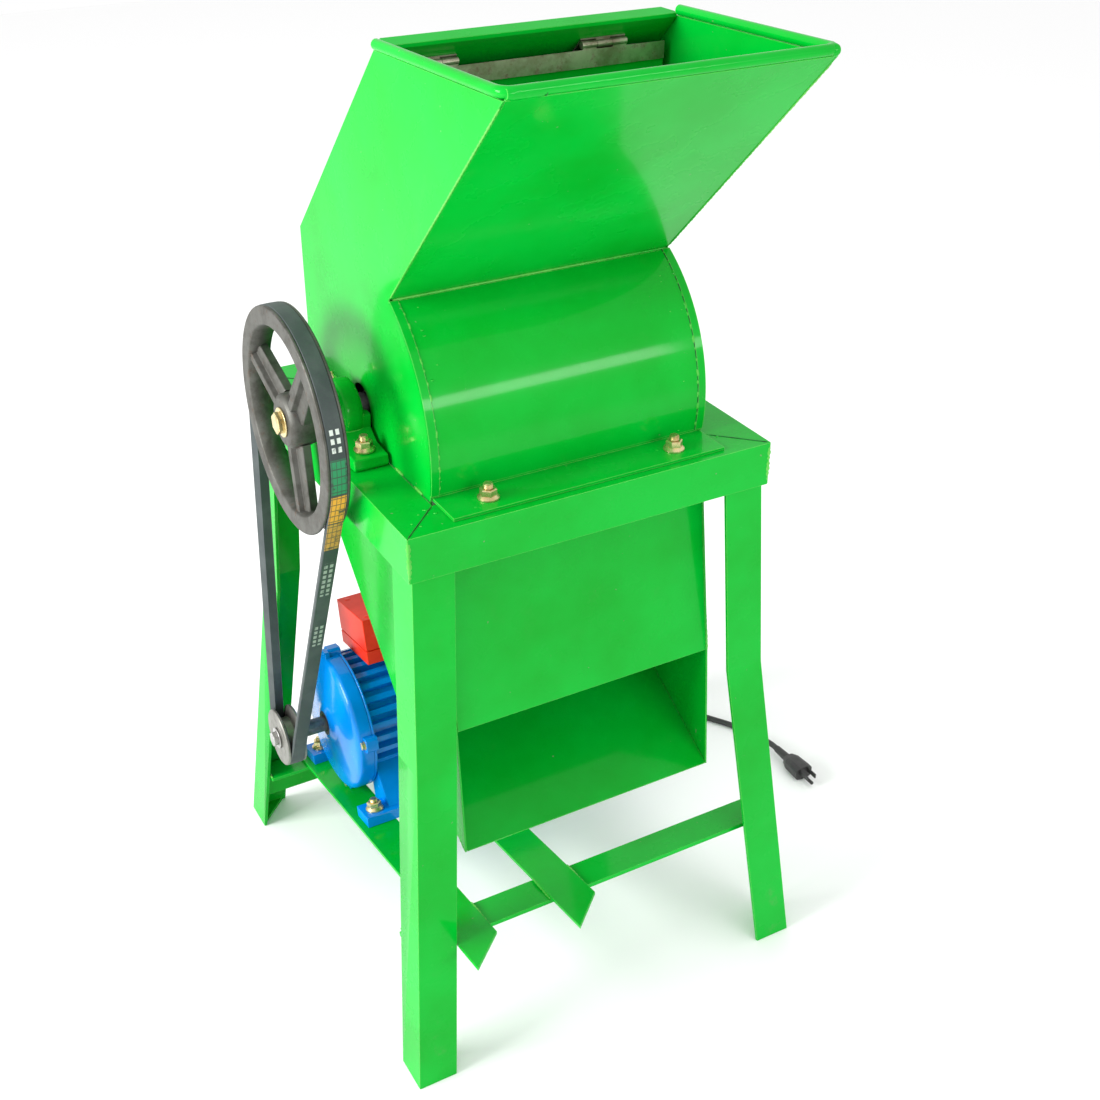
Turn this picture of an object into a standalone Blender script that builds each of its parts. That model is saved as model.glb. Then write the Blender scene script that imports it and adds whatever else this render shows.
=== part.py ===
"""Belt-driven hammer mill on a four-legged angle-iron stand.

Metres, +Z up.  The sizes below count from the floor under the middle of the
table; an empty then moves everything so that the origin is on the floor
under the middle of the machine's outline, hopper included.  The discharge
side faces -Y, the pulleys are on -X and the motor sits low at the back, on
two rails that climb toward the front.
"""
import math

import bmesh
import bpy
from mathutils import Matrix, Vector

# ---------------------------------------------------------------- sizes
GAP = 0.0003            # clearance between pieces that touch

# table and legs, angle iron
TABLE_W = 0.400         # outside width of the table, X
TABLE_D = 0.420         # outside depth of the table, Y
TABLE_H = 0.640         # height of the table top
RAIL_L = 0.047          # side of the table angle
LEG_L = 0.044           # side of the leg angle
IRON_T = 0.004          # thickness of all angle iron
KINK_Z = TABLE_H - 0.264   # height where the legs bend outward
KINK_OUT = (0.0107, 0.0106)   # how far the legs stand out at the bend
FOOT_OUT = (0.0477, 0.0581)   # how far they stand out at the floor
FOOT_T = 0.004          # foot plate thickness

# inclined motor bed
BED_Z0 = 0.1243         # height of the bed plane above the origin
BED_SLOPE = 0.168       # fall of the bed toward the back, per metre
BED_FRONT_Y = -0.225    # front edge of the front cross bar
BAR_W = 0.044           # width of the front cross bar
BAR_T = 0.005
MOTOR_RAIL_X = (-0.160, -0.040)   # middles of the two motor rails
MOTOR_RAIL_TIP_Y = -0.289         # where their mitred tips end
REAR_RAIL_Y = 0.245     # about where the rear rail meets the legs
REAR_RAIL_GAP = 0.0026  # its clearance to the sloping legs

# casing, sheet steel
CASE_W = 0.303          # outside width over the side plates
SIDE_T = 0.002          # side plate thickness
SHEET_T = 0.002         # cover and hopper sheet thickness
FLANGE_T = 0.003        # drum cover and its foot flange
SHAFT_H = 0.0365        # rotor axis above the table top
DRUM_R = 0.160          # outside radius of the drum cover
HOPPER_TOP_FRONT = (-0.315, TABLE_H + 0.401)
HOPPER_TOP_BACK = (-0.083, TABLE_H + 0.394)
THROAT_Y = -0.083       # where the drum cover meets the front panel
BACK_Y = 0.141          # outside of the vertical back sheet
BACK_BEND = (0.137, TABLE_H + 0.180)
FLANGE_FRONT_Y = -0.201
FLANGE_BACK_Y = 0.197
LIP = (0.0125, 0.0045)  # how far the top lip reaches back and up
LIP_MITRE = 0.012       # how much its ends are cut back
LIP_CUT_REACH = 0.0264  # inner reach of that cut
BEAD_R = 0.0048
SLOT_R = 0.022
CASE_DROP = 0.006       # how far the side plates reach into the table

# chute
CHUTE_TOP_Y = -0.160
CHUTE_LIP = (-0.192, TABLE_H - 0.245)       # lower edge of the chute front panel
CHUTE_MOUTH = (-0.204, TABLE_H - 0.3925)    # front edge of the chute floor
CHUTE_BEND = (-0.050, TABLE_H - 0.305)
CHUTE_BACK = (0.143, TABLE_H - 0.110)

# feed flap
FLAP_AXIS = (-0.0745, TABLE_H + 0.3752)     # Y, Z of the hinge line
FLAP_HALF_W = CASE_W / 2 - 0.0095   # clears both side plates
FLAP_LEN = 0.165
FLAP_T = 0.0015
STRIP_W = 0.016
HINGE_X = ((-0.118, -0.070), (0.054, 0.101))
KNUCKLE_R = 0.0034
PIN_R = 0.0014

# rotor
SHAFT_R = 0.0125
DISC_R = 0.090
DISC_T = 0.006
DISC_END = CASE_W / 2 - 0.0315
DISC_X = (-DISC_END, 0.0, DISC_END)
PIN_CIRCLE = 0.070
HPIN_R = 0.006
HAMMER_W = 0.036
HAMMER_T = 0.008
HAMMER_LEN = 0.050      # pin centre to tip
HAMMER_TAIL = 0.015
SCREEN_R = 0.1305       # inside radius of the screen
SCREEN_T = 0.002

# pillow blocks
BLOCK_X = TABLE_W / 2 - 0.0275   # middle of each bearing
BLOCK_W = 0.036
BLOCK_HALF = 0.070      # half length of the foot
BLOCK_FOOT_T = 0.014
BLOCK_R = 0.034
BLOCK_BOLT = 0.0525     # bolt to shaft distance

# belt drive
BELT_X = -TABLE_W / 2 - 0.023    # middle plane of the drive
PULLEY_W = 0.024
BIG_R = 0.114
SMALL_R = 0.035
BELT_W = 0.017
BELT_H = 0.011
BELT_SIT = 0.0004       # how far the belt top lies under the pulley rim

# motor
MOTOR_Y = 0.139
MOTOR_H = 0.095         # axis above the bed plane
BELL_X = (-0.172, -0.143)
BELL_R = 0.0815
BODY_X = (-0.1427, 0.020)
BODY_R = 0.071
FIN_R = 0.0795
FIN_COUNT = 30
FAN_X = 0.088
MOTOR_SHAFT_R = 0.0095
CORE_R = 0.045

# mains lead
CORD_R = 0.0040
CORD_ROUTE_IN = [       # from the gland to the coil
    (0.0145, 0.1655, 0.2990), (0.048, 0.1670, 0.2975), (0.085, 0.1720, 0.277),
    (0.110, 0.1780, 0.222), (0.124, 0.1840, 0.150), (0.137, 0.1910, 0.075),
    (0.1455, 0.2030, 0.023), (0.1495, 0.2260, 0.0050), (0.1508, 0.2620, 0.0044),
    (0.15075, 0.2985, 0.0044),
]
CORD_ROUTE_OUT = [      # from the coil to the plug
    (0.2540, 0.3488, 0.0085), (0.2830, 0.3315, 0.0052), (0.3120, 0.3050, 0.0044),
    (0.3350, 0.2670, 0.0044), (0.3510, 0.2200, 0.0044), (0.3700, 0.1690, 0.0044),
    (0.3940, 0.1270, 0.0044), (0.4160, 0.0920, 0.0044), (0.4300, 0.0560, 0.0047),
    (0.4335, 0.0290, 0.0096), (0.4335, 0.0130, 0.0110),
]
COIL_POS = (0.200, 0.328)
COIL_R = 0.045          # mean radius of the turns
PLUG_POS = (0.4335, 0.0122, 0.0110)

# ---------------------------------------------------------------- derived
AXIS_Z = TABLE_H + SHAFT_H
BED_A = math.atan(BED_SLOPE)
BED_C = math.cos(BED_A)
BED_S = math.sin(BED_A)
MOTOR_V = (MOTOR_Y - MOTOR_H * BED_S) / BED_C
MOTOR_Z = BED_Z0 - MOTOR_V * BED_S + MOTOR_H * BED_C
CASE_IN = CASE_W / 2 - SIDE_T - GAP      # half width of sheets between plates


def leg_corner(z):
    """Outer corner of a leg at height z, as distances from the middle."""
    x0 = TABLE_W / 2 - IRON_T - GAP
    y0 = TABLE_D / 2 - IRON_T - GAP
    z_up = TABLE_H - RAIL_L - 0.001
    if z >= z_up:
        return x0, y0
    if z >= KINK_Z:
        f = (z_up - z) / (z_up - KINK_Z)
        return x0 + f * KINK_OUT[0], y0 + f * KINK_OUT[1]
    f = (KINK_Z - z) / KINK_Z
    return (x0 + KINK_OUT[0] + f * (FOOT_OUT[0] - KINK_OUT[0]),
            y0 + KINK_OUT[1] + f * (FOOT_OUT[1] - KINK_OUT[1]))


# ---------------------------------------------------------------- scene
for old in list(bpy.data.objects):
    bpy.data.objects.remove(old, do_unlink=True)


def material(name, colour, roughness, metallic):
    mat = bpy.data.materials.new(name)
    mat.use_nodes = True
    node = mat.node_tree.nodes["Principled BSDF"]
    node.inputs["Base Color"].default_value = (*colour, 1.0)
    node.inputs["Roughness"].default_value = roughness
    node.inputs["Metallic"].default_value = metallic
    return mat


GREEN = material("green_paint", (0.01, 0.42, 0.05), 0.32, 0.0)
RUST = material("bare_hinge_steel", (0.19, 0.13, 0.08), 0.7, 0.6)
CAST = material("cast_iron", (0.06, 0.06, 0.055), 0.65, 0.7)
GREY_IRON = material("turned_grey_iron", (0.17, 0.17, 0.16), 0.5, 0.7)
STEEL = material("steel", (0.4, 0.4, 0.4), 0.4, 1.0)
ZINC = material("yellow_zinc", (0.62, 0.5, 0.22), 0.3, 1.0)
RUBBER = material("belt_rubber", (0.03, 0.05, 0.05), 0.7, 0.0)
BLUE = material("motor_blue", (0.0, 0.16, 0.62), 0.4, 0.0)
RED = material("red_plastic", (0.8, 0.09, 0.05), 0.4, 0.0)
BLACK = material("black_plastic", (0.03, 0.03, 0.03), 0.5, 0.0)


def empty(name, location, parent=None):
    axis = bpy.data.objects.new(name, None)
    axis.location = location
    axis.parent = parent
    bpy.context.scene.collection.objects.link(axis)
    return axis


CENTRE_Y = (BEAD_R - HOPPER_TOP_FRONT[0] - leg_corner(0.0)[1]) / 2
MILL = empty("mill", (0, CENTRE_Y, 0))


def finish(name, bm, mat, axis=None, smooth=False):
    """Make an object from a mesh that counts from the table's middle."""
    bmesh.ops.recalc_face_normals(bm, faces=bm.faces)
    mesh = bpy.data.meshes.new(name)
    if axis is not None:
        bmesh.ops.translate(bm, verts=bm.verts, vec=-Vector(axis.location))
    bm.to_mesh(mesh)
    bm.free()
    mesh.materials.append(mat)
    if smooth:
        mesh.shade_smooth()
        mesh.set_sharp_from_angle(angle=math.radians(32))
    obj = bpy.data.objects.new(name, mesh)
    obj.parent = axis or MILL
    bpy.context.scene.collection.objects.link(obj)
    return obj


def prism(points, vec):
    """Extrude a flat outline of 3-D points along vec."""
    bm = bmesh.new()
    face = bm.faces.new([bm.verts.new(p) for p in points])
    grown = bmesh.ops.extrude_face_region(bm, geom=[face])
    moved = [v for v in grown["geom"] if isinstance(v, bmesh.types.BMVert)]
    bmesh.ops.translate(bm, verts=moved, vec=Vector(vec))
    return bm


def prism_x(outline, x0, x1):
    """Extrude an outline in Y, Z from x0 to x1."""
    return prism([(x0, y, z) for y, z in outline], (x1 - x0, 0, 0))


def box(x0, x1, y0, y1, z0, z1):
    return prism([(x0, y0, z0), (x1, y0, z0), (x1, y1, z0), (x0, y1, z0)],
                 (0, 0, z1 - z0))


def turned(profile, y, z, segments):
    """Turn a profile of (x, radius) about the line through (y, z) along X."""
    bm = bmesh.new()
    verts = [bm.verts.new((x, 0, r)) for x, r in profile]
    hollow = all(r > 1e-6 for x, r in profile)
    pairs = list(zip(verts, verts[1:]))
    if hollow:
        pairs.append((verts[-1], verts[0]))
    edges = [bm.edges.new(p) for p in pairs]
    bmesh.ops.spin(bm, geom=verts + edges, cent=(0, 0, 0), axis=(1, 0, 0),
                   angle=2 * math.pi, steps=segments, use_duplicate=False)
    bmesh.ops.remove_doubles(bm, verts=bm.verts, dist=1e-6)
    bmesh.ops.translate(bm, verts=bm.verts, vec=(0, y, z))
    return bm


def combine(first, others, operation="UNION"):
    """Boolean of meshes; returns a new bmesh."""
    scene = bpy.context.scene
    made = []
    for k, bm in enumerate([first] + list(others)):
        bmesh.ops.recalc_face_normals(bm, faces=bm.faces)
        mesh = bpy.data.meshes.new("tmp%d" % k)
        bm.to_mesh(mesh)
        bm.free()
        obj = bpy.data.objects.new("tmp%d" % k, mesh)
        scene.collection.objects.link(obj)
        made.append(obj)
    for tool in made[1:]:
        mod = made[0].modifiers.new("cut", "BOOLEAN")
        mod.operation = operation
        mod.object = tool
    bpy.context.view_layer.update()
    graph = bpy.context.evaluated_depsgraph_get()
    out = bmesh.new()
    out.from_mesh(made[0].evaluated_get(graph).to_mesh())
    for obj in made:
        mesh = obj.data
        bpy.data.objects.remove(obj, do_unlink=True)
        bpy.data.meshes.remove(mesh)
    return out


def sheet(path, thickness, side=1):
    """Outline of a bent sheet in Y, Z: path is one face, side picks the other."""
    pts = [Vector(p) for p in path]
    other = []
    for i, p in enumerate(pts):
        a = (p - pts[i - 1]).normalized() if i > 0 else None
        b = (pts[i + 1] - p).normalized() if i < len(pts) - 1 else None
        a = a or b
        b = b or a
        na = Vector((-a.y, a.x))
        nb = Vector((-b.y, b.x))
        n = (na + nb).normalized()
        other.append(p + n * (side * thickness / n.dot(na)))
    return [tuple(p) for p in pts] + [tuple(p) for p in reversed(other)]


def arc(cy, cz, r, a0, a1, n):
    """Points on a circle in Y, Z from angle a0 to a1 in degrees."""
    out = []
    for i in range(n + 1):
        a = math.radians(a0 + (a1 - a0) * i / n)
        out.append((cy + r * math.cos(a), cz + r * math.sin(a)))
    return out


def bed(bm):
    """Move a mesh from bed coordinates (X, along, above) to the world."""
    turn = Matrix.Translation((0, 0, BED_Z0)) @ Matrix.Rotation(-BED_A, 4, "X")
    bmesh.ops.transform(bm, matrix=turn, verts=bm.verts)
    return bm


def smooth_route(points, count):
    """Even points on a Catmull-Rom curve through the route points."""
    pts = [Vector(p) for p in points]
    pts = [2 * pts[0] - pts[1]] + pts + [2 * pts[-1] - pts[-2]]
    dense = []
    for i in range(1, len(pts) - 2):
        p0, p1, p2, p3 = pts[i - 1], pts[i], pts[i + 1], pts[i + 2]
        for k in range(12):
            t = k / 12
            dense.append(0.5 * (2 * p1 + (p2 - p0) * t
                                + (2 * p0 - 5 * p1 + 4 * p2 - p3) * t * t
                                + (3 * p1 - p0 - 3 * p2 + p3) * t ** 3))
    dense.append(pts[-2])
    run = [0.0]
    for a, b in zip(dense, dense[1:]):
        run.append(run[-1] + (b - a).length)
    out = []
    j = 0
    for i in range(count):
        want = run[-1] * i / (count - 1)
        while j < len(run) - 2 and run[j + 1] < want:
            j += 1
        f = (want - run[j]) / (run[j + 1] - run[j])
        out.append(dense[j].lerp(dense[j + 1], min(max(f, 0.0), 1.0)))
    return out


def poly_tube(name, points, radius, mat, resolution, cyclic=False):
    """A round rod or lead along the given points."""
    curve = bpy.data.curves.new(name, "CURVE")
    curve.dimensions = "3D"
    curve.bevel_depth = radius
    curve.bevel_resolution = resolution
    curve.use_fill_caps = True
    line = curve.splines.new("POLY")
    line.points.add(len(points) - 1)
    for slot, p in zip(line.points, points):
        slot.co = (*p, 1.0)
    line.use_cyclic_u = cyclic
    curve.materials.append(mat)
    obj = bpy.data.objects.new(name, curve)
    obj.parent = MILL
    bpy.context.scene.collection.objects.link(obj)
    return obj


# ---------------------------------------------------------------- table
def table_rail(name, along_x, sign):
    """One mitred angle rail: flange on top, skirt hanging outside."""
    section = [(0, 0), (RAIL_L, 0), (RAIL_L, -IRON_T), (IRON_T, -IRON_T),
               (IRON_T, -RAIL_L), (0, -RAIL_L)]
    half_out = TABLE_D / 2 if along_x else TABLE_W / 2
    half_len = TABLE_W / 2 if along_x else TABLE_D / 2
    bm = bmesh.new()
    loops = []
    for end in (-1, 1):
        loop = []
        for d, h in section:
            u = end * (half_len - d - 0.7 * GAP)
            v = sign * (half_out - d)
            p = (u, v, TABLE_H + h) if along_x else (v, u, TABLE_H + h)
            loop.append(bm.verts.new(p))
        loops.append(loop)
        bm.faces.new(loop)
    n = len(section)
    for i in range(n):
        j = (i + 1) % n
        bm.faces.new((loops[0][i], loops[0][j], loops[1][j], loops[1][i]))
    return finish(name, bm, GREEN)


table_rail("table_rail_front", True, -1)
table_rail("table_rail_rear", True, 1)
table_rail("table_rail_left", False, -1)
table_rail("table_rail_right", False, 1)


# ---------------------------------------------------------------- legs
def leg(name, sx, sy):
    """Angle leg, corner outward, bent out below KINK_Z, with its foot plate."""
    bm = bmesh.new()
    rings = []
    levels = (TABLE_H - IRON_T - GAP, TABLE_H - RAIL_L - 0.001, KINK_Z, 0.0)
    shape = [(0, 0), (LEG_L, 0), (LEG_L, IRON_T), (IRON_T, IRON_T),
             (IRON_T, LEG_L), (0, LEG_L)]
    for z in levels:
        cx, cy = leg_corner(z)
        rings.append([bm.verts.new((sx * (cx - a), sy * (cy - b), z))
                      for a, b in shape])
    for lower, upper in zip(rings[1:], rings):
        for i in range(6):
            j = (i + 1) % 6
            bm.faces.new((lower[i], lower[j], upper[j], upper[i]))
    bm.faces.new(rings[0])
    bm.faces.new(rings[-1])
    cx, cy = leg_corner(0.0)
    reach = LEG_L - 0.002
    inset = IRON_T / 2
    plate = prism([(sx * (cx - inset), sy * (cy - inset), 0),
                   (sx * (cx - reach), sy * (cy - inset), 0),
                   (sx * (cx - inset), sy * (cy - reach), 0)], (0, 0, FOOT_T))
    return finish(name, combine(bm, [plate]), GREEN)


leg("leg_front_left", -1, -1)
leg("leg_front_right", 1, -1)
leg("leg_rear_left", -1, 1)
leg("leg_rear_right", 1, 1)


# ---------------------------------------------------------------- motor bed
def cross_members():
    """Flat bar across the front legs, angle across the rear legs."""
    top = -IRON_T - GAP
    v0 = BED_FRONT_Y / BED_C
    half = leg_corner(BED_Z0 - v0 * BED_S)[0] - IRON_T - 3 * GAP
    bar = box(-half, half, v0, v0 + BAR_W, top - BAR_T, top)
    finish("cross_bar_front", bed(bar), GREEN)

    z_rear = BED_Z0 - REAR_RAIL_Y * BED_S
    corner = leg_corner(z_rear)
    v1 = (corner[1] - IRON_T - REAR_RAIL_GAP) / BED_C
    half = corner[0] - IRON_T - 3 * GAP
    section = [(v1, top), (v1, top - LEG_L), (v1 - IRON_T, top - LEG_L),
               (v1 - IRON_T, top - IRON_T), (v1 - LEG_L, top - IRON_T),
               (v1 - LEG_L, top)]
    finish("cross_rail_rear", bed(prism_x(section, -half, half)), GREEN)
    return v1


REAR_V = cross_members()


def motor_rail(name, xm):
    """Angle rail: flat flange on the cross members, skirt between them."""
    x0 = xm - LEG_L / 2
    x1 = xm + LEG_L / 2
    tip = MOTOR_RAIL_TIP_Y / BED_C
    flange = prism([(x0, tip, -IRON_T), (x1, tip + LEG_L, -IRON_T),
                    (x1, REAR_V, -IRON_T), (x0, REAR_V, -IRON_T)],
                   (0, 0, IRON_T))
    front = BED_FRONT_Y / BED_C + BAR_W + 0.002
    skirt = box(x1 - IRON_T, x1, front, REAR_V - LEG_L - 0.002, -LEG_L,
                -IRON_T / 2)
    finish(name, bed(combine(flange, [skirt])), GREEN)


motor_rail("motor_rail_left", MOTOR_RAIL_X[0])
motor_rail("motor_rail_right", MOTOR_RAIL_X[1])


# ---------------------------------------------------------------- casing
THROAT_Z = AXIS_Z + math.sqrt(DRUM_R ** 2 - THROAT_Y ** 2)
THROAT_A = math.degrees(math.atan2(THROAT_Z - AXIS_Z, THROAT_Y))
PLATE_Z = TABLE_H - CASE_DROP
FLANGE_Z = TABLE_H + GAP + FLANGE_T


def drum_angle(z):
    """Angle on the drum circle, front side, at height z."""
    rise = z - AXIS_Z
    return math.degrees(math.atan2(rise, -math.sqrt(DRUM_R ** 2 - rise ** 2)))


def side_plate(name, sign):
    """Flat side sheet: drum front, sloping hopper and the shaft slot."""
    low = drum_angle(PLATE_Z) % 360
    outline = arc(0, AXIS_Z, DRUM_R, low, THROAT_A, 14)
    outline += [HOPPER_TOP_FRONT, HOPPER_TOP_BACK, BACK_BEND,
                (BACK_Y, PLATE_Z)]
    outline += [(SLOT_R, PLATE_Z)]
    outline += arc(0, AXIS_Z, SLOT_R, 0, 180, 10)
    outline += [(-SLOT_R, PLATE_Z)]
    x_out = sign * CASE_W / 2
    finish(name, prism_x(outline, x_out - sign * SIDE_T, x_out), GREEN)


side_plate("side_plate_left", -1)
side_plate("side_plate_right", 1)

BOLT_X = 0.103          # casing studs, from the middle
FLANGE_STUD_Y = -0.180


def drum_cover():
    """Quarter-round front cover that turns out into a flange on the table."""
    path = arc(0, AXIS_Z, DRUM_R - 0.0004, THROAT_A + 0.3,
               drum_angle(FLANGE_Z) % 360, 16)
    path.append((FLANGE_FRONT_Y, FLANGE_Z))
    outline = sheet(path, FLANGE_T, 1)
    bm = prism_x(outline, -CASE_IN, CASE_IN)
    finish("drum_cover", bm, GREEN, smooth=True)


drum_cover()


def hopper_front_panel():
    """Sloping sheet from the throat to the front of the mouth."""
    start = Vector((THROAT_Y, THROAT_Z + GAP))
    end = Vector(HOPPER_TOP_FRONT)
    along = (end - start).normalized()
    path = [tuple(start + along * 0.0006), tuple(end - along * 0.0004)]
    bm = prism_x(sheet(path, SHEET_T, -1), -CASE_IN, CASE_IN)
    finish("hopper_front_panel", bm, GREEN)


hopper_front_panel()


def back_panel():
    """One bent sheet: foot flange, upright, slope and the lip on top."""
    y, z = HOPPER_TOP_BACK
    path = [(FLANGE_BACK_Y, TABLE_H + GAP + SHEET_T),
            (BACK_Y - 0.0004, TABLE_H + GAP + SHEET_T),
            (BACK_BEND[0] - 0.0004, BACK_BEND[1]), (y, z),
            (y, z + 0.001), (y + LIP[0], z + LIP[1])]
    bm = prism_x(sheet(path, SHEET_T, 1), -CASE_IN, CASE_IN)
    cuts = []
    for s in (-1, 1):
        x = s * (CASE_IN + 0.001)
        cuts.append(prism([(x, y + 0.0005, z - 0.001), (x, y + 0.03, z - 0.001),
                           (x - s * LIP_CUT_REACH, y + 0.03, z - 0.001)],
                          (0, 0, 0.02)))
    finish("back_panel", combine(bm, cuts, "DIFFERENCE"), GREEN)


back_panel()


def rim_bead():
    """Rolled edge along the left, front and right of the mouth."""
    rise = BEAD_R + GAP
    side = CASE_W / 2 - SIDE_T / 2
    back = Vector((0, HOPPER_TOP_BACK[0] - 0.004, HOPPER_TOP_BACK[1] + rise))
    front = Vector((0, HOPPER_TOP_FRONT[0], HOPPER_TOP_FRONT[1] + rise))
    x = Vector((side, 0, 0))
    points = [back - x, front - x, front + x, back + x]
    poly_tube("hopper_rim_bead", points, BEAD_R, GREEN, 2)


rim_bead()


# ---------------------------------------------------------------- flap
FLAP = empty("flap_axis", (0, FLAP_AXIS[0], FLAP_AXIS[1]), MILL)
STRIP_TOP = FLAP_AXIS[1] - KNUCKLE_R - 0.0005


def feed_flap():
    """Hanging sheet that closes the throat, with its steel hinge strip."""
    y0 = FLAP_AXIS[0] - FLAP_T / 2
    z1 = STRIP_TOP - 0.002
    flap = box(-FLAP_HALF_W, FLAP_HALF_W, y0, y0 + FLAP_T,
               z1 - FLAP_LEN, z1)
    finish("feed_flap", flap, GREEN, FLAP)

    y1 = y0 - GAP
    strip = box(-FLAP_HALF_W, FLAP_HALF_W, y1 - 0.0015, y1,
                STRIP_TOP - STRIP_W, STRIP_TOP)
    parts = []
    for x0, x1 in HINGE_X:
        third = (x1 - x0) / 3
        a = x0 + third - 0.0004
        b = x1 - third + 0.0004
        parts.append(turned([(x0, 0), (x0, KNUCKLE_R), (a, KNUCKLE_R),
                             (a, PIN_R), (b, PIN_R), (b, KNUCKLE_R),
                             (x1, KNUCKLE_R), (x1, 0)], *FLAP_AXIS, 16))
        for u, v in ((x0 + 0.0005, a - 0.0005), (b + 0.0005, x1 - 0.0005)):
            parts.append(box(u, v, y1 - 0.0012, y1 - 0.0003,
                             STRIP_TOP - 0.001, FLAP_AXIS[1]))
    finish("flap_hinge_strip", combine(strip, parts), RUST, FLAP)


feed_flap()


def hinge_leaf(name, x0, x1):
    """Fixed leaf under the back sheet, with the middle knuckle."""
    slope = (Vector(BACK_BEND) - Vector(HOPPER_TOP_BACK)).normalized()
    normal = Vector((slope.y, -slope.x))
    axis = Vector(FLAP_AXIS)
    face = Vector(HOPPER_TOP_BACK) + normal * (SHEET_T + GAP)
    foot = face + slope * (axis - face).dot(slope)
    reach = (axis - face).dot(normal)
    leaf_t = 0.0014
    bore = PIN_R + GAP

    def strip(s0, s1, n0, n1, u, v):
        corners = [(s0, n0), (s1, n0), (s1, n1), (s0, n1)]
        return prism_x([tuple(foot + slope * a + normal * b)
                        for a, b in corners], u, v)

    third = (x1 - x0) / 3
    u = x0 + third
    v = x1 - third
    bm = strip(-0.0025, 0.020, 0, leaf_t, x0, x1)
    web = strip(-0.0018, 0.0024, leaf_t / 2, reach - bore - 0.0004,
                u + 0.0004, v - 0.0004)
    eye = turned([(u, bore), (u, KNUCKLE_R), (v, KNUCKLE_R), (v, bore)],
                 *FLAP_AXIS, 16)
    finish(name, combine(bm, [web, eye]), RUST)


hinge_leaf("flap_hinge_left", *HINGE_X[0])
hinge_leaf("flap_hinge_right", *HINGE_X[1])


# ---------------------------------------------------------------- chute
CHUTE_TOP_Z = PLATE_Z - GAP
FLOOR_PATH = [CHUTE_MOUTH, CHUTE_BEND, CHUTE_BACK, (CHUTE_BACK[0], CHUTE_TOP_Z)]


def chute_wall(name, sign):
    outline = [(CHUTE_TOP_Y, CHUTE_TOP_Z), CHUTE_LIP] + FLOOR_PATH
    x_out = sign * CASE_W / 2
    finish(name, prism_x(outline, x_out - sign * SIDE_T, x_out), GREEN)


chute_wall("chute_wall_left", -1)
chute_wall("chute_wall_right", 1)


def chute_sheets():
    """Front panel and the bent floor between the two chute walls."""
    panel = sheet([(CHUTE_TOP_Y + 0.0004, CHUTE_TOP_Z), CHUTE_LIP],
                  SHEET_T, 1)
    finish("chute_front_panel", prism_x(panel, -CASE_IN, CASE_IN), GREEN)
    floor = sheet(FLOOR_PATH, SHEET_T, 1)
    finish("chute_floor", prism_x(floor, -CASE_IN, CASE_IN), GREEN)


chute_sheets()


def screen():
    """Half-round concave under the rotor, a plain sheet without its holes."""
    inner = arc(0, AXIS_Z, SCREEN_R, 192, 348, 26)
    outer = arc(0, AXIS_Z, SCREEN_R + SCREEN_T, 348, 192, 26)
    half = CASE_IN - 0.001
    finish("screen", prism_x(inner + outer, -half, half), STEEL, smooth=True)


screen()

# ---------------------------------------------------------------- rotor
ROTOR = empty("rotor_axis", (0, 0, AXIS_Z), MILL)
PULLEY_FACE = BELT_X - PULLEY_W / 2
HUB_IN = BELT_X + PULLEY_W / 2 + 0.006
SHAFT_X = (PULLEY_FACE + 0.001, BLOCK_X + BLOCK_W / 2 + 0.006)
PIN_ANGLES = (90, 210, 330)


def pin_centre(angle):
    a = math.radians(angle)
    return PIN_CIRCLE * math.cos(a), AXIS_Z + PIN_CIRCLE * math.sin(a)


def rotor_body():
    """Shaft with three welded discs, drilled for the hammer pins."""
    a, b = SHAFT_X
    profile = [(a, 0), (a, SHAFT_R)]
    for x in DISC_X:
        profile += [(x - DISC_T / 2, SHAFT_R), (x - DISC_T / 2, DISC_R),
                    (x + DISC_T / 2, DISC_R), (x + DISC_T / 2, SHAFT_R)]
    profile += [(b, SHAFT_R), (b, 0)]
    bm = turned(profile, 0, AXIS_Z, 40)
    holes = []
    for angle in PIN_ANGLES:
        y, z = pin_centre(angle)
        r = HPIN_R + GAP
        holes.append(turned([(-0.14, 0), (-0.14, r), (0.14, r), (0.14, 0)],
                            y, z, 14))
    finish("rotor_body", combine(bm, holes, "DIFFERENCE"), STEEL, ROTOR, True)


rotor_body()


def hammer(name, x, angle):
    """Flat swinging hammer, hanging straight down from its pin."""
    y, z = pin_centre(angle)
    axis = empty(name + "_axis", (x, y, z), MILL)
    h = HAMMER_W / 2
    outline = [(y - h, z - HAMMER_LEN), (y + h, z - HAMMER_LEN),
               (y + h, z + HAMMER_TAIL * 0.4), (y + h * 0.5, z + HAMMER_TAIL),
               (y - h * 0.5, z + HAMMER_TAIL), (y - h, z + HAMMER_TAIL * 0.4)]
    bm = prism_x(outline, x - HAMMER_T / 2, x + HAMMER_T / 2)
    r = HPIN_R + GAP
    hole = turned([(x - 0.02, 0), (x - 0.02, r), (x + 0.02, r), (x + 0.02, 0)],
                  y, z, 14)
    finish(name, combine(bm, [hole], "DIFFERENCE"), STEEL, axis)


def hammer_set():
    """Three pins, each with one hammer in either gap between the discs."""
    reach = DISC_X[2] + DISC_T / 2 + 0.006
    for k, angle in enumerate(PIN_ANGLES):
        y, z = pin_centre(angle)
        bm = turned([(-reach, 0), (-reach, HPIN_R), (reach, HPIN_R),
                     (reach, 0)], y, z, 14)
        finish("hammer_pin_%d" % (k + 1), bm, STEEL, ROTOR, True)
        offset = 0.024 * (k - 1)
        mid = (DISC_X[1] + DISC_X[2]) / 2
        hammer("hammer_%da" % (k + 1), -mid + offset, angle)
        hammer("hammer_%db" % (k + 1), mid + offset, angle)


hammer_set()


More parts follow.
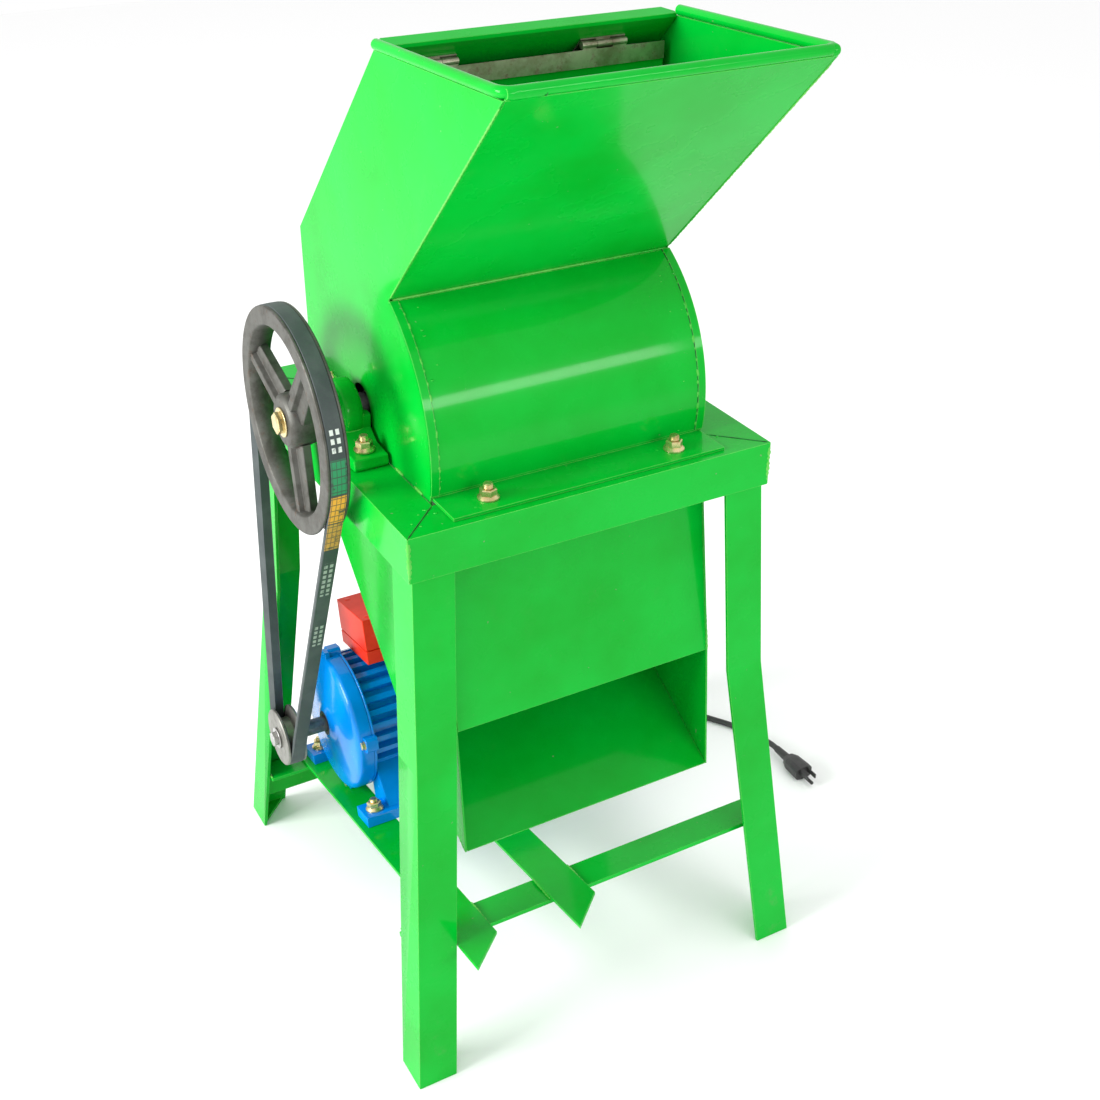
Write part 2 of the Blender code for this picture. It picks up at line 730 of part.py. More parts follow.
# ---------------------------------------------------------------- bearings
def bearing(name, xm):
    """Pillow block: slotless foot, waisted sides and a round head."""
    foot = TABLE_H + GAP
    top = foot + BLOCK_FOOT_T
    half = BLOCK_HALF
    outline = [(half, foot), (half, top - 0.002), (half - 0.004, top),
               (0.040, top)]
    outline += arc(0, AXIS_Z, BLOCK_R, 5, 175, 14)
    outline += [(-0.040, top), (-half + 0.004, top), (-half, top - 0.002),
                (-half, foot)]
    bm = prism_x(outline, xm - BLOCK_W / 2, xm + BLOCK_W / 2)
    r = SHAFT_R + GAP
    bore = turned([(xm - 0.04, 0), (xm - 0.04, r), (xm + 0.04, r),
                   (xm + 0.04, 0)], 0, AXIS_Z, 24)
    finish(name, combine(bm, [bore], "DIFFERENCE"), GREEN, smooth=True)


bearing("bearing_left", -BLOCK_X)
bearing("bearing_right", BLOCK_X)


# ---------------------------------------------------------------- pulleys
def groove(radius, x, depth):
    """Rim profile points of a V groove, left to right."""
    half_top = BELT_W / 2 + GAP * 1.2
    half_low = half_top - depth * math.tan(math.radians(17))
    return [(x - half_top, radius), (x - half_low, radius - depth),
            (x + half_low, radius - depth), (x + half_top, radius)]


def rotor_pulley():
    """Cast three-spoke pulley, its hub reaching in toward the bearing."""
    x0 = PULLEY_FACE
    x1 = BELT_X + PULLEY_W / 2
    rim = turned([(x0, BIG_R - 0.022), (x0, BIG_R)]
                 + groove(BIG_R, BELT_X, BELT_H + 0.003)
                 + [(x1, BIG_R), (x1, BIG_R - 0.022)], 0, AXIS_Z, 56)
    r = SHAFT_R + GAP
    hub = turned([(x0, r), (x0, 0.026), (HUB_IN, 0.026), (HUB_IN, r)],
                 0, AXIS_Z, 28)
    parts = [hub]
    for angle in (128, 22, 262):
        a = math.radians(angle)
        c, s = math.cos(a), math.sin(a)
        w = 0.0125
        ring = []
        for u, v in ((0.019, -w), (BIG_R - 0.019, -w * 0.8),
                     (BIG_R - 0.019, w * 0.8), (0.019, w)):
            ring.append((x0 + 0.004, u * c - v * s, AXIS_Z + u * s + v * c))
        parts.append(prism(ring, (PULLEY_W - 0.008, 0, 0)))
    finish("rotor_pulley", combine(rim, parts), CAST, ROTOR, True)


rotor_pulley()

MOTOR = empty("motor_axis", (0, MOTOR_Y, MOTOR_Z), MILL)


def motor_pulley():
    """Small turned pulley on the motor shaft."""
    r = MOTOR_SHAFT_R + GAP
    x0 = PULLEY_FACE
    x1 = BELT_X + PULLEY_W / 2
    bm = turned([(x0, r), (x0, SMALL_R)]
                + groove(SMALL_R, BELT_X, BELT_H + 0.0015)
                + [(x1, SMALL_R), (x1, 0.020), (x1 + 0.008, 0.020),
                   (x1 + 0.008, r)], MOTOR_Y, MOTOR_Z, 36)
    finish("motor_pulley", bm, GREY_IRON, MOTOR, True)


motor_pulley()


def end_bolt(name, y, z, r, axis):
    """Hexagon screw and washer that hold a pulley on its shaft."""
    x = PULLEY_FACE - GAP
    washer = turned([(x - 0.002, 0), (x - 0.002, r), (x, r), (x, 0)], y, z, 24)
    bm = turned([(x - 0.0075, 0), (x - 0.0075, r * 0.62),
                 (x - 0.001, r * 0.62), (x - 0.001, 0)], y, z, 6)
    finish(name, combine(washer, [bm]), ZINC, axis)


end_bolt("rotor_pulley_bolt", 0, AXIS_Z, 0.0150, ROTOR)
end_bolt("motor_pulley_bolt", MOTOR_Y, MOTOR_Z, 0.0115, MOTOR)


def drive_belt():
    """V belt round both pulleys, straight between the tangent points."""
    big = Vector((0, AXIS_Z))
    small = Vector((MOTOR_Y, MOTOR_Z))
    top_b = BIG_R - BELT_SIT
    top_s = SMALL_R - BELT_SIT
    span = small - big
    base = math.degrees(math.atan2(span.y, span.x))
    wrap = math.degrees(math.acos((top_b - top_s) / span.length))
    stations = []
    for i in range(31):
        stations.append((big, top_b, base + wrap + (360 - 2 * wrap) * i / 30))
    for i in range(13):
        stations.append((small, top_s, base - wrap + 2 * wrap * i / 12))
    half = BELT_W / 2
    low = half - BELT_H * math.tan(math.radians(17))
    section = [(-half, 0), (half, 0), (low, BELT_H), (-low, BELT_H)]
    bm = bmesh.new()
    rings = []
    for centre, radius, angle in stations:
        a = math.radians(angle)
        ring = []
        for x, d in section:
            r = radius - d
            ring.append(bm.verts.new((BELT_X + x, centre.x + r * math.cos(a),
                                      centre.y + r * math.sin(a))))
        rings.append(ring)
    for ring, nxt in zip(rings, rings[1:] + rings[:1]):
        for i in range(4):
            j = (i + 1) % 4
            bm.faces.new((ring[i], ring[j], nxt[j], nxt[i]))
    finish("drive_belt", bm, RUBBER, smooth=True)


drive_belt()


# ---------------------------------------------------------------- motor
def motor_mesh(bm):
    """Move a mesh built round the X axis onto the tilted motor seat."""
    turn = (Matrix.Translation((0, MOTOR_Y, MOTOR_Z))
            @ Matrix.Rotation(-BED_A, 4, "X"))
    bmesh.ops.transform(bm, matrix=turn, verts=bm.verts)
    return bm


def motor_frame():
    """Finned, hollow stator housing with its two feet."""
    outline = []
    for i in range(FIN_COUNT):
        a = 2 * math.pi * i / FIN_COUNT
        for da, r in ((-0.30, BODY_R), (-0.20, FIN_R), (0.20, FIN_R),
                      (0.30, BODY_R)):
            t = a + da * 2 * math.pi / FIN_COUNT
            outline.append((r * math.cos(t), r * math.sin(t)))
    bm = prism_x(outline, *BODY_X)
    foot_z = -MOTOR_H + GAP
    parts = []
    for s in (-1, 1):
        web = [(s * 0.050, -0.040), (s * 0.066, -0.034),
               (s * 0.098, foot_z + 0.013), (s * 0.108, foot_z + 0.013),
               (s * 0.108, foot_z), (s * 0.052, foot_z)]
        parts.append(prism_x(web, BODY_X[0] + 0.001, BODY_X[1] - 0.026))
        lo, hi = sorted((s * 0.074, s * 0.108))
        parts.append(box(MOTOR_RAIL_X[0] - 0.014, BODY_X[0] + 0.004, lo, hi,
                         foot_z, foot_z + 0.013))
    bm = combine(bm, parts)
    bore = turned([(BODY_X[0] - 0.01, 0), (BODY_X[0] - 0.01, CORE_R + 0.002),
                   (BODY_X[1] + 0.01, CORE_R + 0.002), (BODY_X[1] + 0.01, 0)],
                  0, 0, 32)
    bm = combine(bm, [bore], "DIFFERENCE")
    finish("motor_frame", motor_mesh(bm), BLUE)


motor_frame()


def motor_bell():
    """Drive-end bell with four bolt lugs."""
    x0, x1 = BELL_X
    r = MOTOR_SHAFT_R + GAP
    bm = turned([(x0 - 0.003, r), (x0 - 0.003, 0.018), (x0, 0.022),
                 (x0 + 0.001, BELL_R - 0.006), (x0 + 0.006, BELL_R - 0.002),
                 (x1, BELL_R), (x1, CORE_R + 0.006), (x1 - 0.012, CORE_R),
                 (x1 - 0.018, r)], 0, 0, 48)
    parts = []
    for angle in (45, 135, 225, 315):
        a = math.radians(angle)
        c, s = math.cos(a), math.sin(a)
        ring = []
        for u, v in ((0.070, -0.008), (0.0885, -0.008), (0.0885, 0.008),
                     (0.070, 0.008)):
            ring.append((x1 - 0.014, u * c - v * s, u * s + v * c))
        parts.append(prism(ring, (0.012, 0, 0)))
    finish("motor_bell", motor_mesh(combine(bm, parts)), BLUE, smooth=True)


motor_bell()


def motor_back():
    """Pressed fan cover over the cooling fan at the back of the motor."""
    x0 = BODY_X[1] + GAP
    cover = turned([(x0, 0.0765), (x0, 0.0785), (FAN_X - 0.012, 0.0785),
                    (FAN_X, 0.066), (FAN_X, 0.030), (FAN_X - 0.002, 0.030),
                    (FAN_X - 0.002, 0.0655), (FAN_X - 0.0125, 0.0765)],
                   0, 0, 36)
    finish("motor_fan_cover", motor_mesh(cover), BLUE, smooth=True)

    x1 = x0 + 0.020
    r = MOTOR_SHAFT_R
    core = (BODY_X[0] + 0.022, BODY_X[1] - 0.030)
    rotor = turned([(PULLEY_FACE + 0.001, 0), (PULLEY_FACE + 0.001, r),
                    (core[0], r), (core[0], CORE_R), (core[1], CORE_R),
                    (core[1], r), (x1, r), (x1, 0.060), (x1 + 0.003, 0.060),
                    (x1 + 0.003, 0.018), (x1 + 0.018, 0.018),
                    (x1 + 0.018, 0)], 0, 0, 32)
    blades = []
    for i in range(6):
        a = math.radians(60 * i)
        c, s = math.cos(a), math.sin(a)
        ring = []
        for u, v in ((0.016, -0.001), (0.058, -0.001), (0.058, 0.001),
                     (0.016, 0.001)):
            ring.append((x1 + 0.002, u * c - v * s, u * s + v * c))
        blades.append(prism(ring, (0.016, 0, 0)))
    bm = combine(rotor, blades)
    bmesh.ops.translate(bm, verts=bm.verts, vec=(0, MOTOR_Y, MOTOR_Z))
    finish("motor_rotor", bm, STEEL, MOTOR, True)


motor_back()

BOX_X = (-0.124, -0.030)
BOX_V = (-0.043, 0.040)
BOX_N = (0.0800, 0.138)


def terminal_box():
    """Plastic box on top of the motor, with the lead's gland in its end."""
    low = FIN_R + GAP
    bm = box(BOX_X[0], BOX_X[1], BOX_V[0], BOX_V[1], low, BOX_N[1])
    edges = [e for e in bm.edges if min(v.co.z for v in e.verts) > low + 0.01]
    bmesh.ops.bevel(bm, geom=edges, offset=0.004, segments=2, profile=0.5,
                    affect="EDGES")
    finish("terminal_box", motor_mesh(bm), RED)

    x = BOX_X[1] + GAP
    end = CORD_ROUTE_IN[0][0] - GAP
    gland = turned([(x, 0), (x, 0.0095), (x + 0.010, 0.0095),
                    (x + 0.012, 0.0075), (end, 0.0058), (end, 0)],
                   CORD_ROUTE_IN[0][1], CORD_ROUTE_IN[0][2], 20)
    finish("cord_gland", gland, BLACK, smooth=True)


terminal_box()

# ---------------------------------------------------------------- lead
poly_tube("power_cord_inlet", smooth_route(CORD_ROUTE_IN, 26), CORD_R, BLACK, 2)
poly_tube("power_cord_outlet", smooth_route(CORD_ROUTE_OUT, 22), CORD_R, BLACK, 2)


def cord_coil():
    """Outer shape of the coiled part of the lead, lying on the floor."""
    half = 1.05 * 2 * CORD_R
    z0 = GAP
    z1 = 3.85 * CORD_R
    bm = turned([(z0, COIL_R - half), (z0, COIL_R + half),
                 (z1 * 0.5, COIL_R + half), (z1, COIL_R + half * 0.45),
                 (z1, COIL_R - half * 0.45), (z1 * 0.5, COIL_R - half)],
                0, 0, 40)
    turn = (Matrix.Translation((*COIL_POS, 0))
            @ Matrix.Rotation(-math.pi / 2, 4, "Y"))
    bmesh.ops.transform(bm, matrix=turn, verts=bm.verts)
    finish("power_cord_coil", bm, BLACK)


cord_coil()


def power_plug():
    """Moulded plug with two flat blades and a round earth pin."""
    px, py, pz = PLUG_POS
    y0 = -GAP
    relief = [(y0, 0.0050), (y0 - 0.030, 0.0062)]
    bm = turned([(-relief[0][0], 0), (-relief[0][0], relief[0][1]),
                 (-relief[1][0], relief[1][1]), (-relief[1][0], 0)], 0, 0, 12)
    bmesh.ops.rotate(bm, verts=bm.verts, cent=(0, 0, 0),
                     matrix=Matrix.Rotation(-math.pi / 2, 3, "Z"))
    body = bmesh.new()
    rings = []
    for y, w, h in ((-0.026, 0.0085, 0.0080), (-0.034, 0.0120, 0.0096),
                    (-0.054, 0.0135, 0.0100), (-0.061, 0.0135, 0.0100)):
        ring = []
        for k in range(12):
            a = 2 * math.pi * (k + 0.5) / 12
            c, s = math.cos(a), math.sin(a)
            ring.append(body.verts.new((
                w * math.copysign(abs(c) ** 0.6, c), y,
                h * math.copysign(abs(s) ** 0.6, s))))
        rings.append(ring)
    for one, two in zip(rings, rings[1:]):
        for i in range(12):
            j = (i + 1) % 12
            body.faces.new((one[i], one[j], two[j], two[i]))
    body.faces.new(rings[0])
    body.faces.new(rings[-1])
    parts = [body]
    for x in (-0.0064, 0.0064):
        parts.append(box(x - 0.00075, x + 0.00075, -0.078, -0.060,
                         0.0002, 0.0066))
    pin = turned([(0.060, 0), (0.060, 0.0024), (0.080, 0.0024),
                  (0.081, 0.0014), (0.081, 0)], 0, 0, 10)
    bmesh.ops.rotate(pin, verts=pin.verts, cent=(0, 0, 0),
                     matrix=Matrix.Rotation(-math.pi / 2, 3, "Z"))
    bmesh.ops.translate(pin, verts=pin.verts, vec=(0, 0, -0.0046))
    parts.append(pin)
    bm = combine(bm, parts)
    bmesh.ops.translate(bm, verts=bm.verts, vec=(px, py, pz))
    finish("power_plug", bm, BLACK, smooth=True)


power_plug()


# ---------------------------------------------------------------- fasteners
def flange_nut(name, x, y, z, size):
    """Flange nut on its stud, standing on a face at height z."""
    parts = []
    for r, z0, z1, n in ((size * 0.99, 0.0, size * 0.16, 24),
                         (size * 0.80, size * 0.12, size * 0.92, 6),
                         (size * 0.46, size * 0.8, size * 1.55, 14)):
        bm = turned([(z0, 0), (z0, r), (z1, r), (z1, 0)], 0, 0, n)
        bmesh.ops.rotate(bm, verts=bm.verts, cent=(0, 0, 0),
                         matrix=Matrix.Rotation(-math.pi / 2, 3, "Y"))
        parts.append(bm)
    bm = combine(parts[0], parts[1:])
    bmesh.ops.translate(bm, verts=bm.verts, vec=(x, y, z))
    finish(name, bm, ZINC)


NUT = 0.0108
flange_nut("casing_nut_left", -BOLT_X, FLANGE_STUD_Y, FLANGE_Z + GAP, NUT)
flange_nut("casing_nut_right", BOLT_X, FLANGE_STUD_Y, FLANGE_Z + GAP, NUT)
BLOCK_NUT_Z = TABLE_H + 2 * GAP + BLOCK_FOOT_T
flange_nut("bearing_nut_left_front", -BLOCK_X, -BLOCK_BOLT, BLOCK_NUT_Z, NUT)
flange_nut("bearing_nut_left_rear", -BLOCK_X, BLOCK_BOLT, BLOCK_NUT_Z, NUT)
flange_nut("bearing_nut_right_front", BLOCK_X, -BLOCK_BOLT, BLOCK_NUT_Z, NUT)
flange_nut("bearing_nut_right_rear", BLOCK_X, BLOCK_BOLT, BLOCK_NUT_Z, NUT)
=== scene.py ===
"""Hammer mill: the visible machine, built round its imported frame.

Places count from the floor under the middle of the table, so Y is 0 on the
rotor shaft; each finished piece is moved to the shaft's place in the frame.
"""
import math
import random

import bmesh
import bpy
from mathutils import Matrix, Vector


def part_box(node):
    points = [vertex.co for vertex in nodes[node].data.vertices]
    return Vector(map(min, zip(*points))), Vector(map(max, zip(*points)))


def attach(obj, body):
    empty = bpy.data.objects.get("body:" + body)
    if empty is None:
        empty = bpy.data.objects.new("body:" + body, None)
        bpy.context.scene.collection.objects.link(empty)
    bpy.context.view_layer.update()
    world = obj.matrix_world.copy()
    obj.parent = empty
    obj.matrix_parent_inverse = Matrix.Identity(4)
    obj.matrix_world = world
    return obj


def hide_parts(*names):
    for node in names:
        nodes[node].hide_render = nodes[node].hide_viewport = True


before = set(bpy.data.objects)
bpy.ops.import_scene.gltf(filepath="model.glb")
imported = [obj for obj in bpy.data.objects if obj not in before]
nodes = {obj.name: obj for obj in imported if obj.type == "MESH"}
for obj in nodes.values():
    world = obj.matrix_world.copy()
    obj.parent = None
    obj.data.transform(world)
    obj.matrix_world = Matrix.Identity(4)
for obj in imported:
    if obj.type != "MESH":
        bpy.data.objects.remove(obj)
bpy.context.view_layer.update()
scene = bpy.context.scene

# ------------------------------------------------------------------ studio
# A pale floor, a large soft light from the upper left and a white room.
# The camera looks down on the discharge side and the belt drive.
low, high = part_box("rotor_body")
SHAFT_Y = (low[1] + high[1]) / 2
SHAFT_Z = (low[2] + high[2]) / 2
SIGHT = Vector((0.4207, 0.7517, -0.5081))
ROOM = (1, 1, 1, 1)

camera = bpy.data.objects.new("camera", bpy.data.cameras.new("camera"))
camera.data.sensor_width = 36
camera.data.lens = 48.5
camera.location = (-0.6454, SHAFT_Y - 1.2665, 1.3021)
camera.rotation_euler = SIGHT.to_track_quat("-Z", "Y").to_euler()
scene.collection.objects.link(camera)
scene.camera = camera

scene.view_settings.view_transform = "Standard"
room = bpy.data.worlds.new("room")
room.use_nodes = True
room.node_tree.nodes["Background"].inputs["Color"].default_value = ROOM
room.node_tree.nodes["Background"].inputs["Strength"].default_value = 1.0
scene.world = room


def soft_light(name, place, target, width, height, power):
    """A rectangular soft box that faces its target."""
    lamp = bpy.data.lights.new(name, "AREA")
    lamp.shape = "RECTANGLE"
    lamp.size = width
    lamp.size_y = height
    lamp.energy = power
    holder = bpy.data.objects.new(name, lamp)
    holder.location = place
    way = Vector(target) - Vector(place)
    holder.rotation_euler = way.to_track_quat("-Z", "Y").to_euler()
    scene.collection.objects.link(holder)


MIDDLE = (0, 0, 0.6)
soft_light("key", (-3.2, 0.2, 1.7), MIDDLE, 1.8, 1.6, 150)
soft_light("front_fill", (0.9, -2.8, 1.5), MIDDLE, 1.6, 0.35, 22)


# ------------------------------------------------------------------ finishes
# How a finish is written: a Wire is one value on its way through a shader,
# and a Finish is one material with its own nodes.
class Wire:
    """A value on its way through a material."""

    def __init__(self, finish, socket):
        self.finish = finish
        self.socket = socket

    def maths(self, operation, *values):
        return self.finish.node("ShaderNodeMath", {"operation": operation},
                                dict(enumerate((self,) + values)))

    def __add__(self, other):
        return self.maths("ADD", other)

    def __sub__(self, other):
        return self.maths("SUBTRACT", other)

    def __rsub__(self, other):
        return self.finish.node("ShaderNodeMath", {"operation": "SUBTRACT"},
                                {0: other, 1: self})

    def __mul__(self, other):
        return self.maths("MULTIPLY", other)

    def above(self, start, end):
        """0 below start, 1 above end, smooth between."""
        return self.finish.node(
            "ShaderNodeMapRange", {"interpolation_type": "SMOOTHSTEP"},
            {"Value": self, "From Min": start, "From Max": end}, "Result")


class Finish:
    """A material with one Principled BSDF."""

    def __init__(self, name, roughness, metallic=0.0, coat=0.0):
        self.material = bpy.data.materials.new(name)
        self.material.use_nodes = True
        self.tree = self.material.node_tree
        self.surface = self.tree.nodes["Principled BSDF"]
        self.put("Roughness", roughness)
        self.put("Metallic", metallic)
        self.put("Coat Weight", coat)
        self.place = self.node("ShaderNodeTexCoord", {}, {}, "Object")

    def feed(self, socket, value):
        if isinstance(value, Wire):
            self.tree.links.new(value.socket, socket)
        elif isinstance(value, tuple):
            room_for = len(socket.default_value)
            socket.default_value = (*value, 1.0)[:room_for]
        else:
            socket.default_value = value

    def put(self, name, value):
        self.feed(self.surface.inputs[name], value)

    def node(self, kind, settings, values, output=0):
        made = self.tree.nodes.new(kind)
        for key, value in settings.items():
            setattr(made, key, value)
        for key, value in values.items():
            self.feed(made.inputs[key], value)
        return Wire(self, made.outputs[output])

    def stretched(self, x, y, z):
        """Object coordinates scaled by x, y and z."""
        return self.node("ShaderNodeMapping", {},
                         {"Vector": self.place, "Scale": (x, y, z)})

    def noise(self, scale, detail=3.0, roughness=0.5, where=None):
        return self.node("ShaderNodeTexNoise", {},
                         {"Vector": where or self.place, "Scale": scale,
                          "Detail": detail, "Roughness": roughness}, "Fac")

    def blend(self, mask, first, second):
        """A colour: first where mask is 0, second where it is 1."""
        mix = self.tree.nodes.new("ShaderNodeMix")
        mix.data_type = "RGBA"
        self.feed(mix.inputs[0], mask)
        self.feed(mix.inputs[6], first)
        self.feed(mix.inputs[7], second)
        return Wire(self, mix.outputs[2])

    def along(self, letter):
        """One Object coordinate."""
        return self.node("ShaderNodeSeparateXYZ", {}, {0: self.place}, letter)

    def edges(self, radius):
        """0 on a flat face, 1 on an edge."""
        rounded = self.node("ShaderNodeBevel", {"samples": 4},
                            {"Radius": radius})
        plain = self.node("ShaderNodeNewGeometry", {}, {}, "Normal")
        dot = self.node("ShaderNodeVectorMath", {"operation": "DOT_PRODUCT"},
                        {0: rounded, 1: plain}, "Value")
        return (1 - dot).above(0.01, 0.12)

    def bump(self, height, strength, distance=0.001):
        self.put("Normal", self.node("ShaderNodeBump", {},
                                     {"Height": height, "Strength": strength,
                                      "Distance": distance}, "Normal"))


def studio_floor():
    """Smooth pale board under the machine."""
    bm = bmesh.new()
    bmesh.ops.create_grid(bm, x_segments=1, y_segments=1, size=6)
    mesh = bpy.data.meshes.new("floor")
    bm.to_mesh(mesh)
    bm.free()
    board = Finish("pale_board", 0.9)
    board.put("Base Color", (0.94, 0.94, 0.94))
    mesh.materials.append(board.material)
    floor = bpy.data.objects.new("floor", mesh)
    floor.location = (0, 0, -0.0002)
    scene.collection.objects.link(floor)


studio_floor()


# ------------------------------------------------------------------ mains lead
# Round black flexible lead from the motor's terminal box to a three-pin plug.
# Its spare length is coiled on the floor behind the stand.
CORD_R = 0.0040
COIL_X = 0.200
COIL_Y = 0.328
COIL_R = 0.045
COIL_SWEEP = 2 + 1 / 3
HALF_PITCH = 0.00425
LIE = 0.0044
STEP = 0.010

ROUTE_IN = [
    (0.0145, 0.1655, 0.2990), (0.048, 0.1670, 0.2975), (0.085, 0.1720, 0.277),
    (0.110, 0.1780, 0.222), (0.124, 0.1840, 0.150), (0.137, 0.1910, 0.075),
    (0.1455, 0.2030, 0.023), (0.1495, 0.2260, 0.0050), (0.1508, 0.2620, 0.0044),
    (0.15075, 0.2985, 0.0044),
]
ROUTE_OUT = [
    (0.2540, 0.3488, 0.0085), (0.2830, 0.3315, 0.0052), (0.3120, 0.3050, 0.0044),
    (0.3350, 0.2670, 0.0044), (0.3510, 0.2200, 0.0044), (0.3700, 0.1690, 0.0044),
    (0.3940, 0.1270, 0.0044), (0.4160, 0.0920, 0.0044), (0.4300, 0.0560, 0.0047),
    (0.4335, 0.0290, 0.0096), (0.4335, 0.0130, 0.0110),
]


def smooth_line(points, step):
    """Even points on a Catmull-Rom curve through the given points."""
    pts = [Vector(p) for p in points]
    pts = [2 * pts[0] - pts[1]] + pts + [2 * pts[-1] - pts[-2]]
    dense = []
    for a, b, c, d in zip(pts, pts[1:], pts[2:], pts[3:]):
        for k in range(16):
            t = k / 16
            dense.append(0.5 * (2 * b + (c - a) * t
                                + (2 * a - 5 * b + 4 * c - d) * t * t
                                + (3 * b - a - 3 * c + d) * t ** 3))
    dense.append(pts[-2])
    lengths = [(q - p).length for p, q in zip(dense, dense[1:])]
    count = max(2, round(sum(lengths) / step))
    gap = sum(lengths) / count
    out = [dense[0]]
    gone = 0.0
    for p, q, length in zip(dense, dense[1:], lengths):
        while gone + length >= gap * len(out) - 1e-9 and len(out) < count:
            out.append(p.lerp(q, (gap * len(out) - gone) / length))
        gone += length
    out.append(dense[-1])
    return out


def eased(t, start, span):
    """0 before start, 1 after start + span, smooth between."""
    s = min(max((t - start) / span, 0.0), 1.0)
    return s * s * (3 - 2 * s)


def coil_points():
    """Clockwise: one turn on the floor, one inside it, the rest on top."""
    out = []
    total = round(30 * COIL_SWEEP)
    for i in range(1, total):
        t = COIL_SWEEP * i / total
        side = HALF_PITCH * (1 - 2 * eased(t, 0.75, 0.25) + eased(t, 1.75, 0.25))
        lift = 2 * CORD_R * eased(t, 1.60, 0.25) - 0.0010 * eased(t, 1.95, 0.10)
        lift += 0.0012 * eased(t, 2.18, 0.15)
        a = math.pi - 2 * math.pi * t
        r = COIL_R + side
        out.append(Vector((COIL_X + r * math.cos(a), COIL_Y + r * math.sin(a),
                           LIE + lift)))
    return out


def length_of(points):
    return sum((q - p).length for p, q in zip(points, points[1:]))


def tube(name, lines, radius, material, body, sides=3, swell=None):
    """Round rods, leads or beads along lines of points."""
    curve = bpy.data.curves.new(name, "CURVE")
    curve.dimensions = "3D"
    curve.bevel_depth = radius
    curve.bevel_resolution = sides
    curve.use_fill_caps = True
    for points in lines:
        line = curve.splines.new("POLY")
        line.points.add(len(points) - 1)
        for i, (spot, p) in enumerate(zip(line.points, points)):
            spot.co = (p[0], p[1] + SHAFT_Y, p[2], 1.0)
            spot.radius = swell(i, len(points)) if swell else 1.0
        line.use_smooth = True
    curve.materials.append(material)
    obj = bpy.data.objects.new(name, curve)
    scene.collection.objects.link(obj)
    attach(obj, body)
    return obj


def black_plastic(name, grey, roughness):
    """Moulded black plastic, slightly dusty."""
    skin = Finish(name, roughness)
    dust = skin.noise(60, 5.0, 0.65).above(0.45, 0.75)
    skin.put("Base Color", skin.blend(dust * 0.35, (grey, grey, grey),
                                      (0.12, 0.12, 0.115)))
    skin.put("Roughness", dust * 0.25 + roughness)
    skin.bump(skin.noise(900, 2.0), 0.12, 0.0002)
    return skin.material


BLACK = black_plastic("black_plastic", 0.022, 0.42)

turns = coil_points()
lead = smooth_line(ROUTE_IN, STEP)
lead += turns
lead += smooth_line([turns[-1]] + ROUTE_OUT, STEP)[1:]
for point in lead:
    point.z = max(point.z, LIE)
cord = tube("power_cord", [lead], CORD_R, BLACK, "stand", 4)
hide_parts("power_cord_inlet", "power_cord_coil", "power_cord_outlet")
round(length_of(lead), 3)


# ------------------------------------------------------------------ plate work
# Stand, casing and chute: sheet and angle iron, cut, folded and welded, then
# painted as one in thick green enamel.  Each plate keeps its frame shape and
# gets broken edges.
def green_enamel(name, deep, light):
    """Glossy enamel with drips, dust low down, a painted highlight along the edges and chips along
    them.
    """
    paint = Finish(name, 0.3, coat=0.28)
    paint.put("Coat Roughness", 0.09)
    paint.put("Specular IOR Level", 0.05)
    clouds = paint.noise(5.5, 4.0, 0.6)
    colour = paint.blend(clouds.above(0.3, 0.7), deep, light)
    dust = paint.noise(38, 6.0, 0.7).above(0.56, 0.78)
    near_floor = 1 - paint.along("Z").above(0.0, 0.16)
    colour = paint.blend(dust * (near_floor * 0.30 + 0.04), colour,
                         (0.15, 0.27, 0.11))
    edge = paint.edges(0.0011)
    # Painted highlight: every edge is blended towards pale green, standing in for light caught
    # along it.
    colour = paint.blend(edge * 0.62, colour, (0.24, 0.72, 0.16))
    worn = edge * paint.noise(55, 5.0, 0.7).above(0.62, 0.67)
    speck = paint.noise(190, 2.0, 0.5).above(0.765, 0.785)
    bare = worn.maths("MAXIMUM", speck * 0.7)
    colour = paint.blend(bare, colour, (0.20, 0.24, 0.15))
    paint.put("Base Color", colour)
    sheen = paint.noise(14, 4.0, 0.6)
    paint.put("Roughness", sheen * 0.20 + 0.17 + bare * 0.4)
    peel = paint.noise(300, 2.0, 0.5)
    sag = paint.noise(11, 2.0, 0.4, paint.stretched(1.0, 1.0, 0.45))
    paint.bump(peel * 0.04 + sag * 1.2 - bare * 0.5, 0.14, 0.0012)
    return paint.material


ENAMEL = green_enamel("green_enamel", (0.0, 0.350, 0.015), (0.0, 0.445, 0.031))
SEAM = green_enamel("seam_enamel", (0.004, 0.34, 0.018), (0.17, 0.58, 0.10))


def soften(piece, width, segments=2):
    """Join a piece's faces and break its sharp edges."""
    weld = piece.modifiers.new("join", "WELD")
    weld.merge_threshold = 0.00002
    edge = piece.modifiers.new("edge", "BEVEL")
    edge.width = width
    edge.segments = segments
    edge.limit_method = "ANGLE"
    edge.angle_limit = math.radians(38)
    edge.harden_normals = True


def repaint(names, material, bevel=0.0):
    """Put one finish on frame pieces and, with a bevel, break their edges."""
    for name in names:
        for holder in nodes[name].material_slots:
            holder.material = material
        if bevel:
            soften(nodes[name], bevel)


repaint(["power_plug", "cord_gland"], BLACK)
FRAME_PARTS = ("table_rail", "leg_", "motor_rail", "cross_")
repaint([n for n in nodes if n.startswith(FRAME_PARTS)], ENAMEL, 0.0007)
repaint(["side_plate_left", "side_plate_right", "hopper_front_panel", "back_panel",
         "drum_cover", "chute_wall_left", "chute_wall_right", "chute_front_panel",
         "chute_floor", "feed_flap"], ENAMEL, 0.0005)


